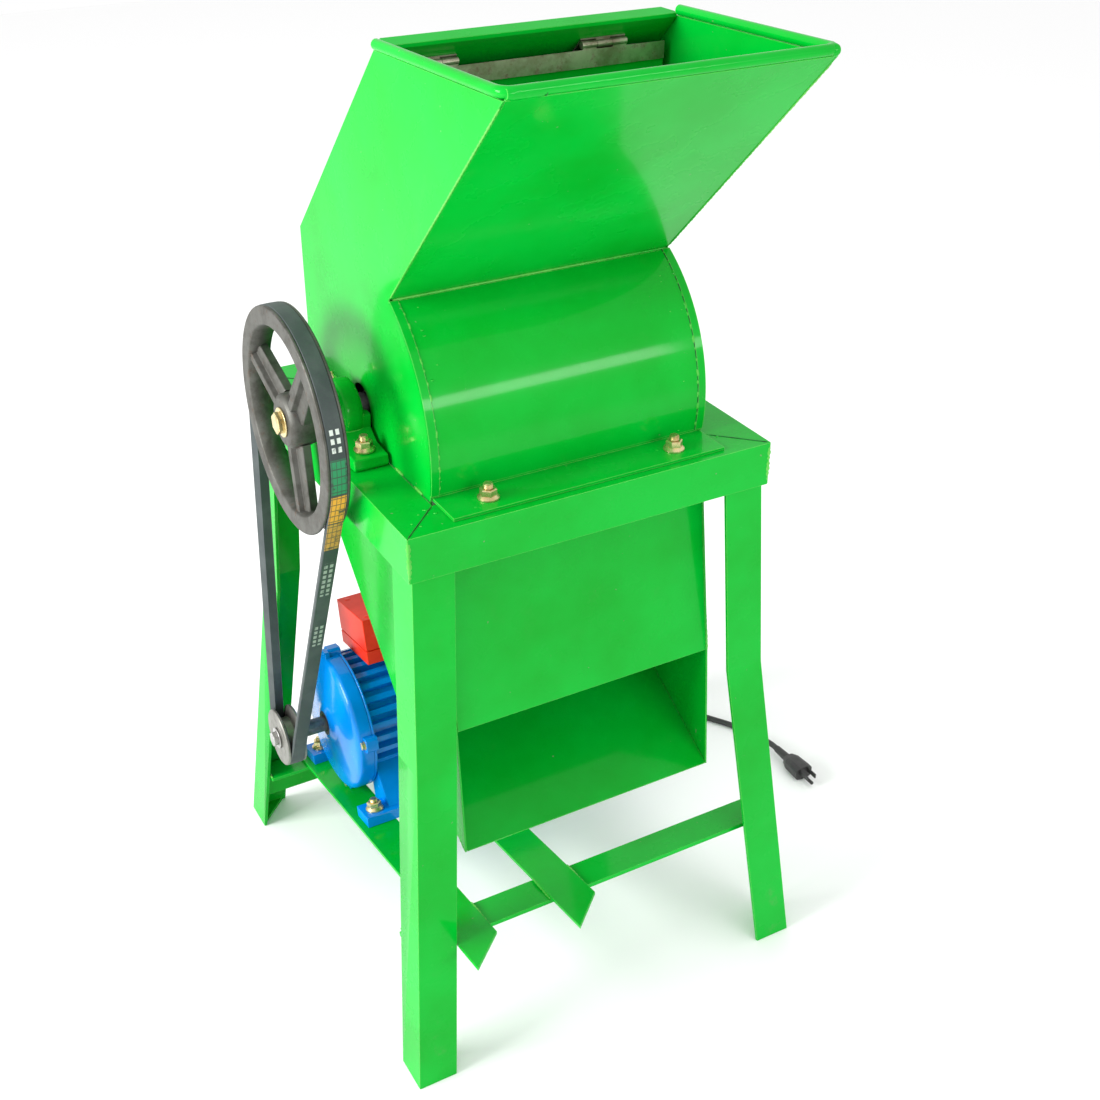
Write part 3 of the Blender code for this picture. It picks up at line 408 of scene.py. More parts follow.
# ------------------------------------------------------------------ weld seams
# Short electric welds hold the mitres, legs, cross members and sheet edges.
# They were left rough and painted over with everything else.
TABLE_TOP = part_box("table_rail_front")[1][2]
TABLE_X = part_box("table_rail_right")[1][0]
TABLE_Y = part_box("table_rail_rear")[1][1] - SHAFT_Y
CASING_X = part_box("side_plate_right")[1][0]
RAIL = 0.047
MITRE_EDGE = 0.003
WELD_END = 0.004
LEG_WELD = (0.006, 0.040)


def between(a, b, step=0.0022):
    """Points from a to b, about one step apart."""
    a, b = Vector(a), Vector(b)
    count = max(2, round((b - a).length / step))
    return [a.lerp(b, i / count) for i in range(count + 1)]


def ripple(i, count):
    """How a hand-laid bead swells and thins along its run."""
    end = min(i, count - 1 - i, 2) / 2
    wave = 0.72 + 0.20 * math.sin(2.3 * i) + 0.10 * math.sin(0.71 * i)
    return wave * (0.45 + 0.55 * end)


def table_welds():
    """Open mitre on top of each corner, welded down its outer edge."""
    seams, gaps = [], []
    for sx in (-1, 1):
        for sy in (-1, 1):
            gaps.append([(sx * (TABLE_X - inset), sy * (TABLE_Y - inset), TABLE_TOP + 0.0001)
                         for inset in (RAIL - MITRE_EDGE, MITRE_EDGE)])
            corner = (sx * (TABLE_X - 0.0014), sy * (TABLE_Y - 0.0014))
            seams.append(between((*corner, TABLE_TOP - WELD_END),
                                 (*corner, TABLE_TOP - RAIL + WELD_END)))
    tube("table_mitre_welds", seams, 0.0030, SEAM, "stand", 2, ripple)
    tube("table_mitre_gaps", gaps, 0.0005, JOINT, "stand", 1)


def leg_welds():
    """Where each leg's two flanges meet the lower edge of the table."""
    seams = []
    z = TABLE_TOP - RAIL - 0.0003
    start, end = LEG_WELD
    for sx in (-1, 1):
        for sy in (-1, 1):
            x, y = sx * (TABLE_X - 0.0036), sy * (TABLE_Y - 0.0036)
            seams.append(between((x - sx * start, y, z), (x - sx * end, y, z)))
            seams.append(between((x, y - sy * start, z), (x, y - sy * end, z)))
    tube("leg_top_welds", seams, 0.0017, SEAM, "stand", 2, ripple)


def joint_shadow():
    """Dark, greasy line left in an open joint."""
    line = Finish("open_joint", 0.8)
    grease = line.noise(90, 3.0).above(0.4, 0.6)
    line.put("Base Color", line.blend(grease, (0.0, 0.045, 0.008), (0.002, 0.14, 0.018)))
    return line.material


JOINT = joint_shadow()
table_welds()
leg_welds()

# ------------------------------------------------------------------ drum edges
# The curved cover is lapped over a narrow rim on each side plate and stitched
# to it with a row of small tacks.
DRUM_R = 0.160
THROAT = math.radians(122.0)
DRUM_FOOT = math.radians(191.0)
LAP = 0.0085
TACKS = 17
FLANGE_T = 0.003


def shell(name, bm, material, body, bevel=0.0, smooth=32.0):
    """Turn a bmesh that counts from the table's middle into a piece."""
    bmesh.ops.remove_doubles(bm, verts=bm.verts, dist=1e-6)
    bmesh.ops.recalc_face_normals(bm, faces=bm.faces)
    bmesh.ops.translate(bm, verts=bm.verts, vec=(0, SHAFT_Y, 0))
    mesh = bpy.data.meshes.new(name)
    bm.to_mesh(mesh)
    bm.free()
    mesh.materials.append(material)
    mesh.shade_smooth()
    mesh.set_sharp_from_angle(angle=math.radians(smooth))
    obj = bpy.data.objects.new(name, mesh)
    scene.collection.objects.link(obj)
    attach(obj, body)
    if bevel:
        soften(obj, bevel)
    return obj


def lathe(bm, profile, y, z, steps, start=0.0, angle=2 * math.pi):
    """Turn an outline of (x, radius) about the X line through y, z."""
    verts = [bm.verts.new((x, r * math.cos(start), r * math.sin(start)))
             for x, r in profile]
    pairs = list(zip(verts, verts[1:]))
    if min(r for x, r in profile) > 1e-6:
        pairs.append((verts[-1], verts[0]))
    parts = verts + [bm.edges.new(pair) for pair in pairs]
    whole = abs(angle) > 2 * math.pi - 1e-6
    if not whole:
        parts.append(bm.faces.new(verts))
    before = set(bm.verts) - set(verts)
    bmesh.ops.spin(bm, geom=parts, cent=(0, 0, 0), axis=(1, 0, 0), angle=angle,
                   steps=steps, use_merge=whole)
    fresh = [v for v in bm.verts if v not in before]
    bmesh.ops.translate(bm, verts=fresh, vec=(0, y, z))
    return fresh


def round_drum(x, radius, angle):
    """A place on the drum, at an angle about the shaft."""
    return (x, radius * math.cos(angle), SHAFT_Z + radius * math.sin(angle))


def drum_edge(name, sign):
    """Narrow lap and its row of tacks at one end of the drum."""
    outer = sign * CASING_X
    inner = outer - sign * LAP
    bm = bmesh.new()
    lathe(bm, [(outer, DRUM_R - 0.0012), (outer, DRUM_R + 0.0014),
               (inner, DRUM_R + 0.0012), (inner, DRUM_R - 0.0012)],
          0, SHAFT_Z, 40, THROAT, DRUM_FOOT - THROAT)
    shell(name + "_lap", bm, ENAMEL, "stand")
    tacks = []
    for i in range(TACKS):
        start = THROAT + (DRUM_FOOT - THROAT) * (i + 0.18) / TACKS
        tacks.append([round_drum(inner + sign * 0.0004 * math.sin(5 * i + k), DRUM_R,
                                 start + k * 0.0120) for k in range(3 + i % 3)])
    edge = [round_drum(inner, DRUM_R + 0.0004, THROAT + (DRUM_FOOT - THROAT) * k / 40)
            for k in range(41)]
    tube(name + "_joint", [edge], 0.0007, JOINT, "stand", 1)
    tube(name + "_tacks", tacks, 0.0023, SEAM, "stand", 2, ripple)


def drum_skin():
    """Painted outer face of the rolled cover between its two laps."""
    reach = CASING_X - LAP + 0.001
    bm = bmesh.new()
    lathe(bm, [(reach, DRUM_R - 0.0010), (reach, DRUM_R + 0.0003),
               (-reach, DRUM_R + 0.0003), (-reach, DRUM_R - 0.0010)],
          0, SHAFT_Z, 120, THROAT, DRUM_FOOT - THROAT)
    shell("drum_cover_skin", bm, ENAMEL, "stand")


drum_skin()
drum_edge("drum_edge_left", -1)
drum_edge("drum_edge_right", 1)


def spatter():
    """Beads of weld metal left round the flange and the throat, under paint."""
    dice = random.Random(5)
    bm = bmesh.new()

    def bead(x, y, z):
        radius = dice.uniform(0.0006, 0.0015)
        made = bmesh.ops.create_icosphere(bm, subdivisions=2, radius=radius)
        bmesh.ops.scale(bm, verts=made["verts"], vec=(1.2, 1.0, 0.6))
        bmesh.ops.translate(bm, verts=made["verts"], vec=(x, y, z))

    for _ in range(22):
        x = dice.choice((-1, 1)) * dice.uniform(0.075, 0.190)
        y = dice.uniform(-0.197, -0.166)
        bead(x, y, TABLE_TOP + (FLANGE_T if abs(x) < CASING_X else 0.0))
    for _ in range(18):
        a = dice.uniform(THROAT, DRUM_FOOT)
        x = dice.choice((-1, 1)) * (CASING_X - dice.uniform(0.001, 0.030))
        bead(*round_drum(x, DRUM_R, a))
    shell("weld_spatter", bm, ENAMEL, "stand", smooth=180)


spatter()

# ------------------------------------------------------------------ hopper rim
# The mouth is edged with rolled sheet about a finger thick.  The front roll
# laps over the left one, and the back edge has a folded lip instead.
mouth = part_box("hopper_rim_bead")
RIM_R = 0.0048
RIM_X = mouth[1][0] - RIM_R
RIM_FRONT = mouth[0][1] - SHAFT_Y + RIM_R
RIM_BACK = mouth[1][1] - SHAFT_Y
RIM_FRONT_Z = mouth[1][2] - RIM_R
RIM_BACK_Z = mouth[0][2] + RIM_R


def rim_point(x, y):
    """A point on the centre line of the rim's side rolls."""
    t = (y - RIM_BACK) / (RIM_FRONT - RIM_BACK)
    return (x, y, RIM_BACK_Z + t * (RIM_FRONT_Z - RIM_BACK_Z))


def hopper_rim():
    """Three rolls, a lap at the left corner and a small hook at the right."""
    bend = 0.010
    shift = 0.0007
    turn = [math.radians(180 + 90 * i / 6) for i in range(7)]
    round_corner = [(-RIM_X + bend + bend * math.cos(a),
                     RIM_FRONT + bend + bend * math.sin(a), RIM_FRONT_Z) for a in turn]
    left = [rim_point(-RIM_X, RIM_BACK), rim_point(-RIM_X, RIM_FRONT + bend)]
    front = [(-RIM_X + bend, RIM_FRONT, RIM_FRONT_Z),
             (RIM_X - bend, RIM_FRONT, RIM_FRONT_Z)]
    far_corner = [(-x, y, z) for x, y, z in reversed(round_corner)]
    right = [rim_point(RIM_X, RIM_FRONT + bend), rim_point(RIM_X, RIM_BACK)]
    whole = between(*left, 0.02) + round_corner[1:-1] + between(*front, 0.02)
    whole += far_corner[1:-1] + between(*right, 0.02)
    rim = tube("hopper_rim", [whole], RIM_R, ENAMEL, "stand", 5)
    y, z = RIM_FRONT + shift, RIM_FRONT_Z - shift
    lap = between((-RIM_X + 0.002, y, z), (-RIM_X + 0.034, y, z), 0.004)
    hook = between((RIM_X - 0.006, y, z), (RIM_X + 0.0008, y, z), 0.002)
    tube("hopper_rim_laps", [lap, hook], RIM_R + 0.0006, ENAMEL, "stand", 5,
         lambda i, count: 0.80 if i in (0, count - 1) else 1.0)
    seam = [(-RIM_X + 0.0345, y + RIM_R * math.cos(a), z + RIM_R * math.sin(a))
            for a in (math.radians(20 * k) for k in range(19))]
    tube("hopper_rim_joint", [seam], 0.0005, JOINT, "stand", 1)
    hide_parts("hopper_rim_bead")


hopper_rim()

# ------------------------------------------------------------------ seams of the sheet work
# The hopper, throat and chute are welded from outside at every corner; the
# cross members and the motor rails are welded where they meet the legs.
HOPPER_FRONT = (-0.315, 1.041)
HOPPER_THROAT = (-0.083, SHAFT_Z + 0.137)
CHUTE_TOP = (-0.160, 0.590)
CHUTE_LIP = (-0.192, 0.395)
CHUTE_MOUTH = (-0.204, 0.2475)
CHUTE_BEND = (-0.050, 0.335)
STITCHES = 7
STITCH_PITCH = 0.044
STITCH = 0.018


def seam_on_both_sides(name, lines, x, radius):
    """The same bead on the left and right plates."""
    seams = [between((side, *a), (side, *b)) for side in (-x, x) for a, b in lines]
    tube(name, seams, radius, SEAM, "stand", 2, ripple)


def hopper_seams():
    """Corner seams of the hopper and the joint along the top of the drum."""
    down = Vector(HOPPER_THROAT) - Vector(HOPPER_FRONT)
    start = Vector(HOPPER_FRONT) + down * 0.03
    end = Vector(HOPPER_FRONT) + down * 0.99
    seam_on_both_sides("hopper_corner_seams", [(start, end)], CASING_X - 0.0008, 0.0011)
    y, z = HOPPER_THROAT
    reach = CASING_X - 0.004
    tube("throat_seam", [between((-reach, y - 0.001, z), (reach, y - 0.001, z))],
         0.0016, SEAM, "stand", 2, ripple)
    z = TABLE_TOP + 0.0008
    stitches = []
    for x in (-CASING_X - 0.0006, CASING_X + 0.0006):
        for k in range(STITCHES):
            y0 = -0.140 + STITCH_PITCH * k
            stitches.append(between((x, y0, z), (x, y0 + STITCH, z)))
    tube("casing_foot_stitches", stitches, 0.0017, SEAM, "stand", 2, ripple)


def chute_seams():
    """Chute corners: down the front panel and along the sloping floor."""
    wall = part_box("chute_wall_right")[1][0]
    lines = [(CHUTE_TOP, CHUTE_LIP), (CHUTE_MOUTH, CHUTE_BEND)]
    seam_on_both_sides("chute_corner_seams", lines, wall - 0.0004, 0.0011)


def frame_seams():
    """Cross members on the legs and the rails on the cross members."""
    seams = []
    for node in ("cross_bar_front", "cross_rail_rear"):
        low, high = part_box(node)
        y0, y1 = low[1] - SHAFT_Y + 0.003, high[1] - SHAFT_Y - 0.003
        z = high[2] - 0.0006
        for x in (low[0] + 0.001, high[0] - 0.001):
            seams.append(between((x, y0, z), (x, y1, z)))
    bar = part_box("cross_bar_front")
    for node in ("motor_rail_left", "motor_rail_right"):
        low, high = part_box(node)
        for x in (low[0], high[0]):
            seams.append(between((x, bar[0][1] - SHAFT_Y + 0.002, bar[1][2] + 0.0004),
                                 (x, bar[1][1] - SHAFT_Y - 0.002, bar[1][2] - 0.0030)))
    tube("frame_seams", seams, 0.0020, SEAM, "stand", 2, ripple)


hopper_seams()
chute_seams()
frame_seams()

# ------------------------------------------------------------------ bare metals
# Machined steel, grey cast iron, zinc-plated fasteners and rusted hinge steel.


def metal(name, colour, stain, roughness, rust=0.0, grain=(60, 60, 60)):
    """Worn metal: cloudy tone, fine grain and an optional bloom of rust."""
    skin = Finish(name, roughness, metallic=0.9)
    clouds = skin.noise(45, 5.0, 0.65).above(0.38, 0.68)
    tone = skin.blend(clouds, colour, stain)
    bloom = skin.noise(85, 6.0, 0.7).above(0.62 - rust * 0.3, 0.74 - rust * 0.25)
    tone = skin.blend(bloom * (0.25 + rust * 0.7), tone, (0.13, 0.055, 0.022))
    skin.put("Base Color", tone)
    skin.put("Metallic", 0.9 - bloom * (0.2 + rust * 0.6))
    fine = skin.noise(9, 4.0, 0.6, skin.stretched(*grain))
    skin.put("Roughness", fine * 0.22 + bloom * 0.25 + (roughness - 0.10))
    skin.bump(fine + bloom * 0.6, 0.10 + rust * 0.25, 0.0004)
    return skin.material


STEEL = metal("turned_steel", (0.50, 0.50, 0.49), (0.33, 0.32, 0.30), 0.34)
IRON = metal("cast_iron", (0.135, 0.135, 0.122), (0.080, 0.078, 0.068), 0.58, 0.18)
GREY_IRON = metal("turned_grey_iron", (0.30, 0.295, 0.27), (0.19, 0.185, 0.165), 0.45, 0.1,
                  (160, 12, 12))
ZINC = metal("yellow_zinc", (0.74, 0.62, 0.33), (0.50, 0.38, 0.16), 0.28)
RUST = metal("hinge_steel", (0.47, 0.42, 0.34), (0.27, 0.22, 0.16), 0.5, 0.30)
DARK_STEEL = metal("dark_steel", (0.20, 0.20, 0.20), (0.10, 0.10, 0.10), 0.45, 0.12)

PINS = [n for n in nodes if n.startswith("hammer_pin")]
repaint(["rotor_body"] + PINS, DARK_STEEL, 0.0005)
repaint([n for n in nodes if n.startswith("hammer_") and n not in PINS], STEEL, 0.0006)
repaint(["screen"], STEEL)
repaint(["motor_rotor"], DARK_STEEL, 0.0004)
repaint(["flap_hinge_left", "flap_hinge_right", "flap_hinge_strip"], RUST, 0.0004)


def about_x(degrees):
    """A turn about the X line, in degrees."""
    return Matrix.Rotation(math.radians(degrees), 3, "X")


UPRIGHT = Matrix.Rotation(math.radians(-90), 3, "Y")


def place(bm, verts, matrix, spot):
    """Turn vertices about the origin, then move them to their spot."""
    bmesh.ops.rotate(bm, verts=verts, cent=(0, 0, 0), matrix=matrix)
    bmesh.ops.translate(bm, verts=verts, vec=spot)


def prism(bm, corners, way):
    """A flat outline pushed along a way."""
    face = bm.faces.new([bm.verts.new(c) for c in corners])
    made = bmesh.ops.extrude_face_region(bm, geom=[face], use_keep_orig=True)
    moved = [g for g in made["geom"] if isinstance(g, bmesh.types.BMVert)]
    bmesh.ops.translate(bm, verts=moved, vec=way)
    return moved + list(face.verts)


def loft(bm, first, second):
    """Skin between two outlines with the same number of corners."""
    a = [bm.verts.new(p) for p in first]
    b = [bm.verts.new(p) for p in second]
    count = len(a)
    for i in range(count):
        j = (i + 1) % count
        bm.faces.new((a[i], a[j], b[j], b[i]))
    bm.faces.new(a)
    bm.faces.new(b)
    return a + b


# ------------------------------------------------------------------ flange nuts
# Yellow zinc flange nuts hold the casing, the bearings and the motor's feet.
# Each stands on the end of a threaded stud.
NUT_FLANGE_R = 0.0106
NUT_HEX_R = 0.0086
NUT_H = 0.0102
STUD_R = 0.0049
THREAD = 0.0014
MOTOR_TILT = math.radians(-9.54)
MOTOR_Y = 0.139
MOTOR_Z = 0.197279


def on_motor(x, v, n):
    """A place on the sloping motor: along it, across it and up from its axis."""
    c, s = math.cos(MOTOR_TILT), math.sin(MOTOR_TILT)
    return (x, MOTOR_Y + v * c - n * s, MOTOR_Z + v * s + n * c)


def flange_nut(name, spot, turn, tilt=0.0, stud=0.0055):
    """Hexagon on a wide flange, its corners chamfered, with the stud's end."""
    bm = bmesh.new()
    flange = [(0, STUD_R), (0, NUT_FLANGE_R), (0.0014, NUT_FLANGE_R),
              (0.0019, NUT_FLANGE_R - 0.0005), (0.0040, NUT_HEX_R - 0.0006), (0.0040, STUD_R)]
    verts = lathe(bm, flange, 0, 0, 32)
    hexagon = [(0.0022, STUD_R), (0.0022, NUT_HEX_R), (NUT_H - 0.0010, NUT_HEX_R),
               (NUT_H, NUT_HEX_R * 0.87), (NUT_H, STUD_R)]
    verts += lathe(bm, hexagon, 0, 0, 6)
    rod = [(0.001, 0.0)]
    x = 0.001
    while x < NUT_H + stud - THREAD:
        rod += [(x, STUD_R), (x + THREAD * 0.5, STUD_R - 0.0006)]
        x += THREAD
    rod += [(x, STUD_R - 0.0004), (x + 0.0006, STUD_R - 0.0012), (x + 0.0006, 0.0)]
    verts += lathe(bm, rod, 0, 0, 20)
    place(bm, verts, Matrix.Rotation(tilt, 3, "X") @ UPRIGHT @ about_x(turn), spot)
    return shell(name, bm, ZINC, "stand", smooth=28)


def nut_in_place_of(node, turn):
    """A detailed nut where the frame has a plain one."""
    low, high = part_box(node)
    spot = ((low[0] + high[0]) / 2, (low[1] + high[1]) / 2 - SHAFT_Y, low[2])
    nut = flange_nut(node + "_detail", spot, turn)
    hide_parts(node)


NUTS = [n for n in sorted(nodes) if n.startswith(("casing_nut", "bearing_nut"))]
for count, node in enumerate(NUTS):
    nut_in_place_of(node, 17 + 23 * count)

FOOT_TOP = -0.0814
FOOT_X = (-0.158, -0.043)
FOOT_V = (-0.092, 0.092)
for i, x in enumerate(FOOT_X):
    for j, v in enumerate(FOOT_V):
        flange_nut(f"motor_foot_nut_{i}{j}", on_motor(x, v, FOOT_TOP), 11 + 31 * (2 * i + j),
                   MOTOR_TILT, 0.004)

# ------------------------------------------------------------------ bearings
# Cast-iron pillow blocks, painted with the stand.  Each has a raised housing,
# a ball-bearing insert with a locking collar, and a grease nipple.
BLOCK_W = 0.036
BLOCK_HALF = 0.070
HOUSING_R = 0.0315
HOUSING_HALF = 0.0115
RACE_R = 0.0245
SHAFT_R = 0.0125
NIPPLE_LEAN = -38


def pillow_block(node, sign):
    """Foot and housing, then the insert with its collar, then the nipple."""
    low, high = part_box(node)
    x = (low[0] + high[0]) / 2
    foot_z = low[2] - SHAFT_Z
    bm = bmesh.new()
    half = [(BLOCK_HALF - 0.002, foot_z), (BLOCK_HALF, foot_z + 0.003),
            (BLOCK_HALF - 0.001, foot_z + 0.0125), (0.0425, foot_z + 0.0145)]
    for degrees in (-22, -8, 6):
        a = math.radians(degrees)
        half.append((HOUSING_R * math.cos(a) * 0.97, HOUSING_R * math.sin(a) * 0.97))
    outline = [(0, foot_z)] + half + [(0.020, 0.004), (0.0, -0.0235)]
    for sy in (-1, 1):
        corners = [(-BLOCK_W / 2, sy * y, z) for y, z in outline]
        prism(bm, corners, (BLOCK_W, 0, 0))
    verts = list(bm.verts)
    h = HOUSING_HALF
    ring = [(-h, RACE_R), (-h, HOUSING_R - 0.0034), (-h + 0.0028, HOUSING_R - 0.0006),
            (-h + 0.0060, HOUSING_R), (h - 0.0060, HOUSING_R), (h - 0.0028, HOUSING_R - 0.0006),
            (h, HOUSING_R - 0.0034), (h, RACE_R)]
    verts += lathe(bm, ring, 0, 0, 64)
    bmesh.ops.translate(bm, verts=bm.verts, vec=(x, 0, SHAFT_Z))
    block = shell(node + "_casting", bm, ENAMEL, "stand", 0.0016, 38)
    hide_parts(node)
    bm = bmesh.new()
    lathe(bm, [(-0.0095, RACE_R + 0.0004), (-0.0105, RACE_R - 0.0010), (-0.0105, 0.0205),
               (-0.0075, 0.0198), (-0.0075, 0.0172), (0.0075, 0.0172), (0.0075, 0.0198),
               (0.0105, 0.0205), (0.0105, RACE_R - 0.0010), (0.0095, RACE_R + 0.0004)],
          0, 0, 64)
    collar = sign * 0.004
    lathe(bm, [(-0.0150 + collar, SHAFT_R + 0.0002), (-0.0160 + collar, SHAFT_R + 0.0008),
               (-0.0160 + collar, 0.0164), (-0.0152 + collar, 0.0171),
               (0.0152 + collar, 0.0171), (0.0160 + collar, 0.0164),
               (0.0160 + collar, SHAFT_R + 0.0008), (0.0150 + collar, SHAFT_R + 0.0002)],
          0, 0, 48)
    bmesh.ops.translate(bm, verts=bm.verts, vec=(x, 0, SHAFT_Z))
    shell(node + "_insert", bm, STEEL, "stand", smooth=30)
    bm = bmesh.new()
    nipple = lathe(bm, [(0, 0.0), (0, 0.0038), (0.0034, 0.0038), (0.0034, 0.0024),
                        (0.0062, 0.0020), (0.0072, 0.0029), (0.0086, 0.0024), (0.0094, 0.0)],
                   0, 0, 16)
    lean = about_x(NIPPLE_LEAN)
    spot = lean @ Vector((x, 0, HOUSING_R - 0.0015))
    place(bm, nipple, lean @ UPRIGHT, (spot[0], spot[1], spot[2] + SHAFT_Z))
    shell(node + "_nipple", bm, ZINC, "stand", smooth=30)


pillow_block("bearing_left", -1)
pillow_block("bearing_right", 1)

# ------------------------------------------------------------------ rotor pulley
# Rough grey-iron casting with one V groove and three broad ribbed spokes,
# clamped on the shaft by a washer and a zinc-plated bolt.
BELT_X = -0.223
BIG_R = 0.114
SMALL_R = 0.035
FACE = -0.235
BACK = -0.211
GROOVE = 0.0087
GROOVE_FOOT = 0.0044
GROOVE_DEPTH = 0.0132
SPOKES = (128, 22, 262)
SPOKE_ENDS = ((0.022, 0.0195), (0.0975, 0.0155))


def v_rim(radius):
    """Outline of a grooved rim from its front edge to its back edge."""
    return [(FACE, radius - 0.0012), (FACE + 0.0010, radius), (BELT_X - GROOVE, radius),
            (BELT_X - GROOVE_FOOT, radius - GROOVE_DEPTH),
            (BELT_X + GROOVE_FOOT, radius - GROOVE_DEPTH),
            (BELT_X + GROOVE, radius), (BACK - 0.0010, radius), (BACK, radius - 0.0012)]


def rotor_pulley():
    """Grooved rim, stepped hub and three tapered spokes with a raised rib."""
    bm = bmesh.new()
    inner = BIG_R - 0.0190
    rim = [(FACE, inner + 0.0012), (FACE + 0.0012, inner), (BELT_X, inner - 0.0024),
           (BACK - 0.0012, inner), (BACK, inner + 0.0012)]
    lathe(bm, v_rim(BIG_R) + rim[::-1], 0, SHAFT_Z, 96)
    hub = [(FACE - 0.0002, SHAFT_R), (FACE - 0.0002, 0.0235), (FACE + 0.0020, 0.0262),
           (-0.2300, 0.0278), (-0.2140, 0.0278), (-0.2070, 0.0262), (-0.2052, 0.0240),
           (-0.2052, SHAFT_R)]
    lathe(bm, hub, 0, SHAFT_Z, 64)
    for degrees in SPOKES:
        outline = []
        for reach, half in SPOKE_ENDS:
            outline.append([(-0.2160, -half, reach), (-0.2160, half, reach),
                            (-0.2245, half, reach), (-0.2262, half - 0.0025, reach),
                            (-0.2268, 0.0062, reach), (-0.2325, 0.0042, reach),
                            (-0.2325, -0.0042, reach), (-0.2268, -0.0062, reach),
                            (-0.2262, 0.0025 - half, reach), (-0.2245, -half, reach)])
        verts = loft(bm, *outline)
        place(bm, verts, about_x(degrees - 90), (0, 0, SHAFT_Z))
    wheel = shell("rotor_pulley_casting", bm, IRON, "rotor", 0.0010, 34)
    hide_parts("rotor_pulley")


def end_bolt(name, node, y, z, body, head_r, washer_r, metal_of):
    """Washer, split spring washer and chamfered hexagon head."""
    (far, *_), (near, *_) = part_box(node)
    bm = bmesh.new()
    lathe(bm, [(near, 0.0), (near, washer_r - 0.0004), (near - 0.0005, washer_r),
               (near - 0.0014, washer_r), (near - 0.0018, washer_r - 0.0005),
               (near - 0.0018, 0.0)], y, z, 40)
    lathe(bm, [(near - 0.0016, 0.0), (near - 0.0016, head_r * 0.90),
               (near - 0.0030, head_r * 0.90), (near - 0.0030, 0.0)], y, z, 32)
    head = lathe(bm, [(near - 0.0028, 0.0), (near - 0.0028, head_r), (far + 0.0008, head_r),
                      (far, head_r * 0.87), (far, 0.0)], 0, 0, 6)
    place(bm, head, Matrix.Rotation(0.35, 3, "X"), (0, y, z))
    bolt = shell(name, bm, metal_of, body, 0.0002, 28)
    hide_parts(node)


def motor_pulley():
    """Small turned pulley with a faced front and a hub behind."""
    bm = bmesh.new()
    dish = [(BACK, 0.0200), (-0.2055, 0.0190), (-0.2052, 0.0098), (FACE + 0.0002, 0.0098),
            (FACE + 0.0002, 0.0125), (FACE, 0.0130), (FACE, 0.0230), (FACE - 0.0003, 0.0233),
            (FACE - 0.0003, 0.0236), (FACE, 0.0239)]
    lathe(bm, v_rim(SMALL_R) + dish, MOTOR_Y, MOTOR_Z, 64)
    wheel = shell("motor_pulley_turned", bm, GREY_IRON, "motor_spindle", 0.0004, 30)
    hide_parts("motor_pulley")


rotor_pulley()
end_bolt("rotor_end_bolt", "rotor_pulley_bolt", 0, SHAFT_Z, "rotor", 0.0115, 0.0150, ZINC)
motor_pulley()
end_bolt("motor_end_bolt", "motor_pulley_bolt", MOTOR_Y, MOTOR_Z, "motor_spindle",
         0.0095, 0.0130, STEEL)

# ------------------------------------------------------------------ drive belt
# Rubber V belt, cloth-covered.  The front run carries the maker's worn colour
# marks: ticks, then a green, an orange and a faded ochre block.
BELT_TOP = 0.0085
BELT_FOOT = 0.0049
BELT_H = 0.011
BELT_PROUD = 0.0004
MARK_LEAD = 0.040
UNMARKED = 9.0
TICK_PITCH = 0.0085
CHALK = (0.75, 0.78, 0.74)


def belt_line():
    """Points round the outside, their outward way and how far along the marks."""
    gap = Vector((MOTOR_Y, MOTOR_Z - SHAFT_Z))
    big, small = BIG_R + BELT_PROUD, SMALL_R + BELT_PROUD
    base = math.atan2(gap.y, gap.x)
    spread = math.acos((big - small) / gap.length)
    out = []
    front, rear = base - spread, base + spread

    def arc(centre, radius, start, end, count):
        for i in range(count + 1):
            a = start + (end - start) * i / count
            way = Vector((math.cos(a), math.sin(a)))
            out.append((Vector(centre) + way * radius, way))

    arc((0, SHAFT_Z), big, rear, front + 2 * math.pi, 72)
    first = len(out) - 1
    start, way = out[-1]
    foot = Vector((MOTOR_Y, MOTOR_Z)) + way * small
    steps = 60
    ahead = 9
    for i in range(1, steps):
        out.append((start.lerp(foot, i / steps), way))
    arc((MOTOR_Y, MOTOR_Z), small, front, rear, 30)
    last = len(out) - 31
    end_point, end_way = out[-1]
    back = Vector((0, SHAFT_Z)) + end_way * big
    for i in range(1, steps):
        out.append((end_point.lerp(back, i / steps), end_way))
    marks = [UNMARKED] * len(out)
    quarter = min(range(first), key=lambda i: (out[i][1] - Vector((-1, 0))).length)
    begin = quarter - ahead
    marks[begin - 2:begin] = [-1.0, -1.0]
    gone = MARK_LEAD - ahead * (out[1][0] - out[0][0]).length
    for i in range(begin, last):
        marks[i] = gone
        gone += (out[i + 1][0] - out[i][0]).length
    return out, marks


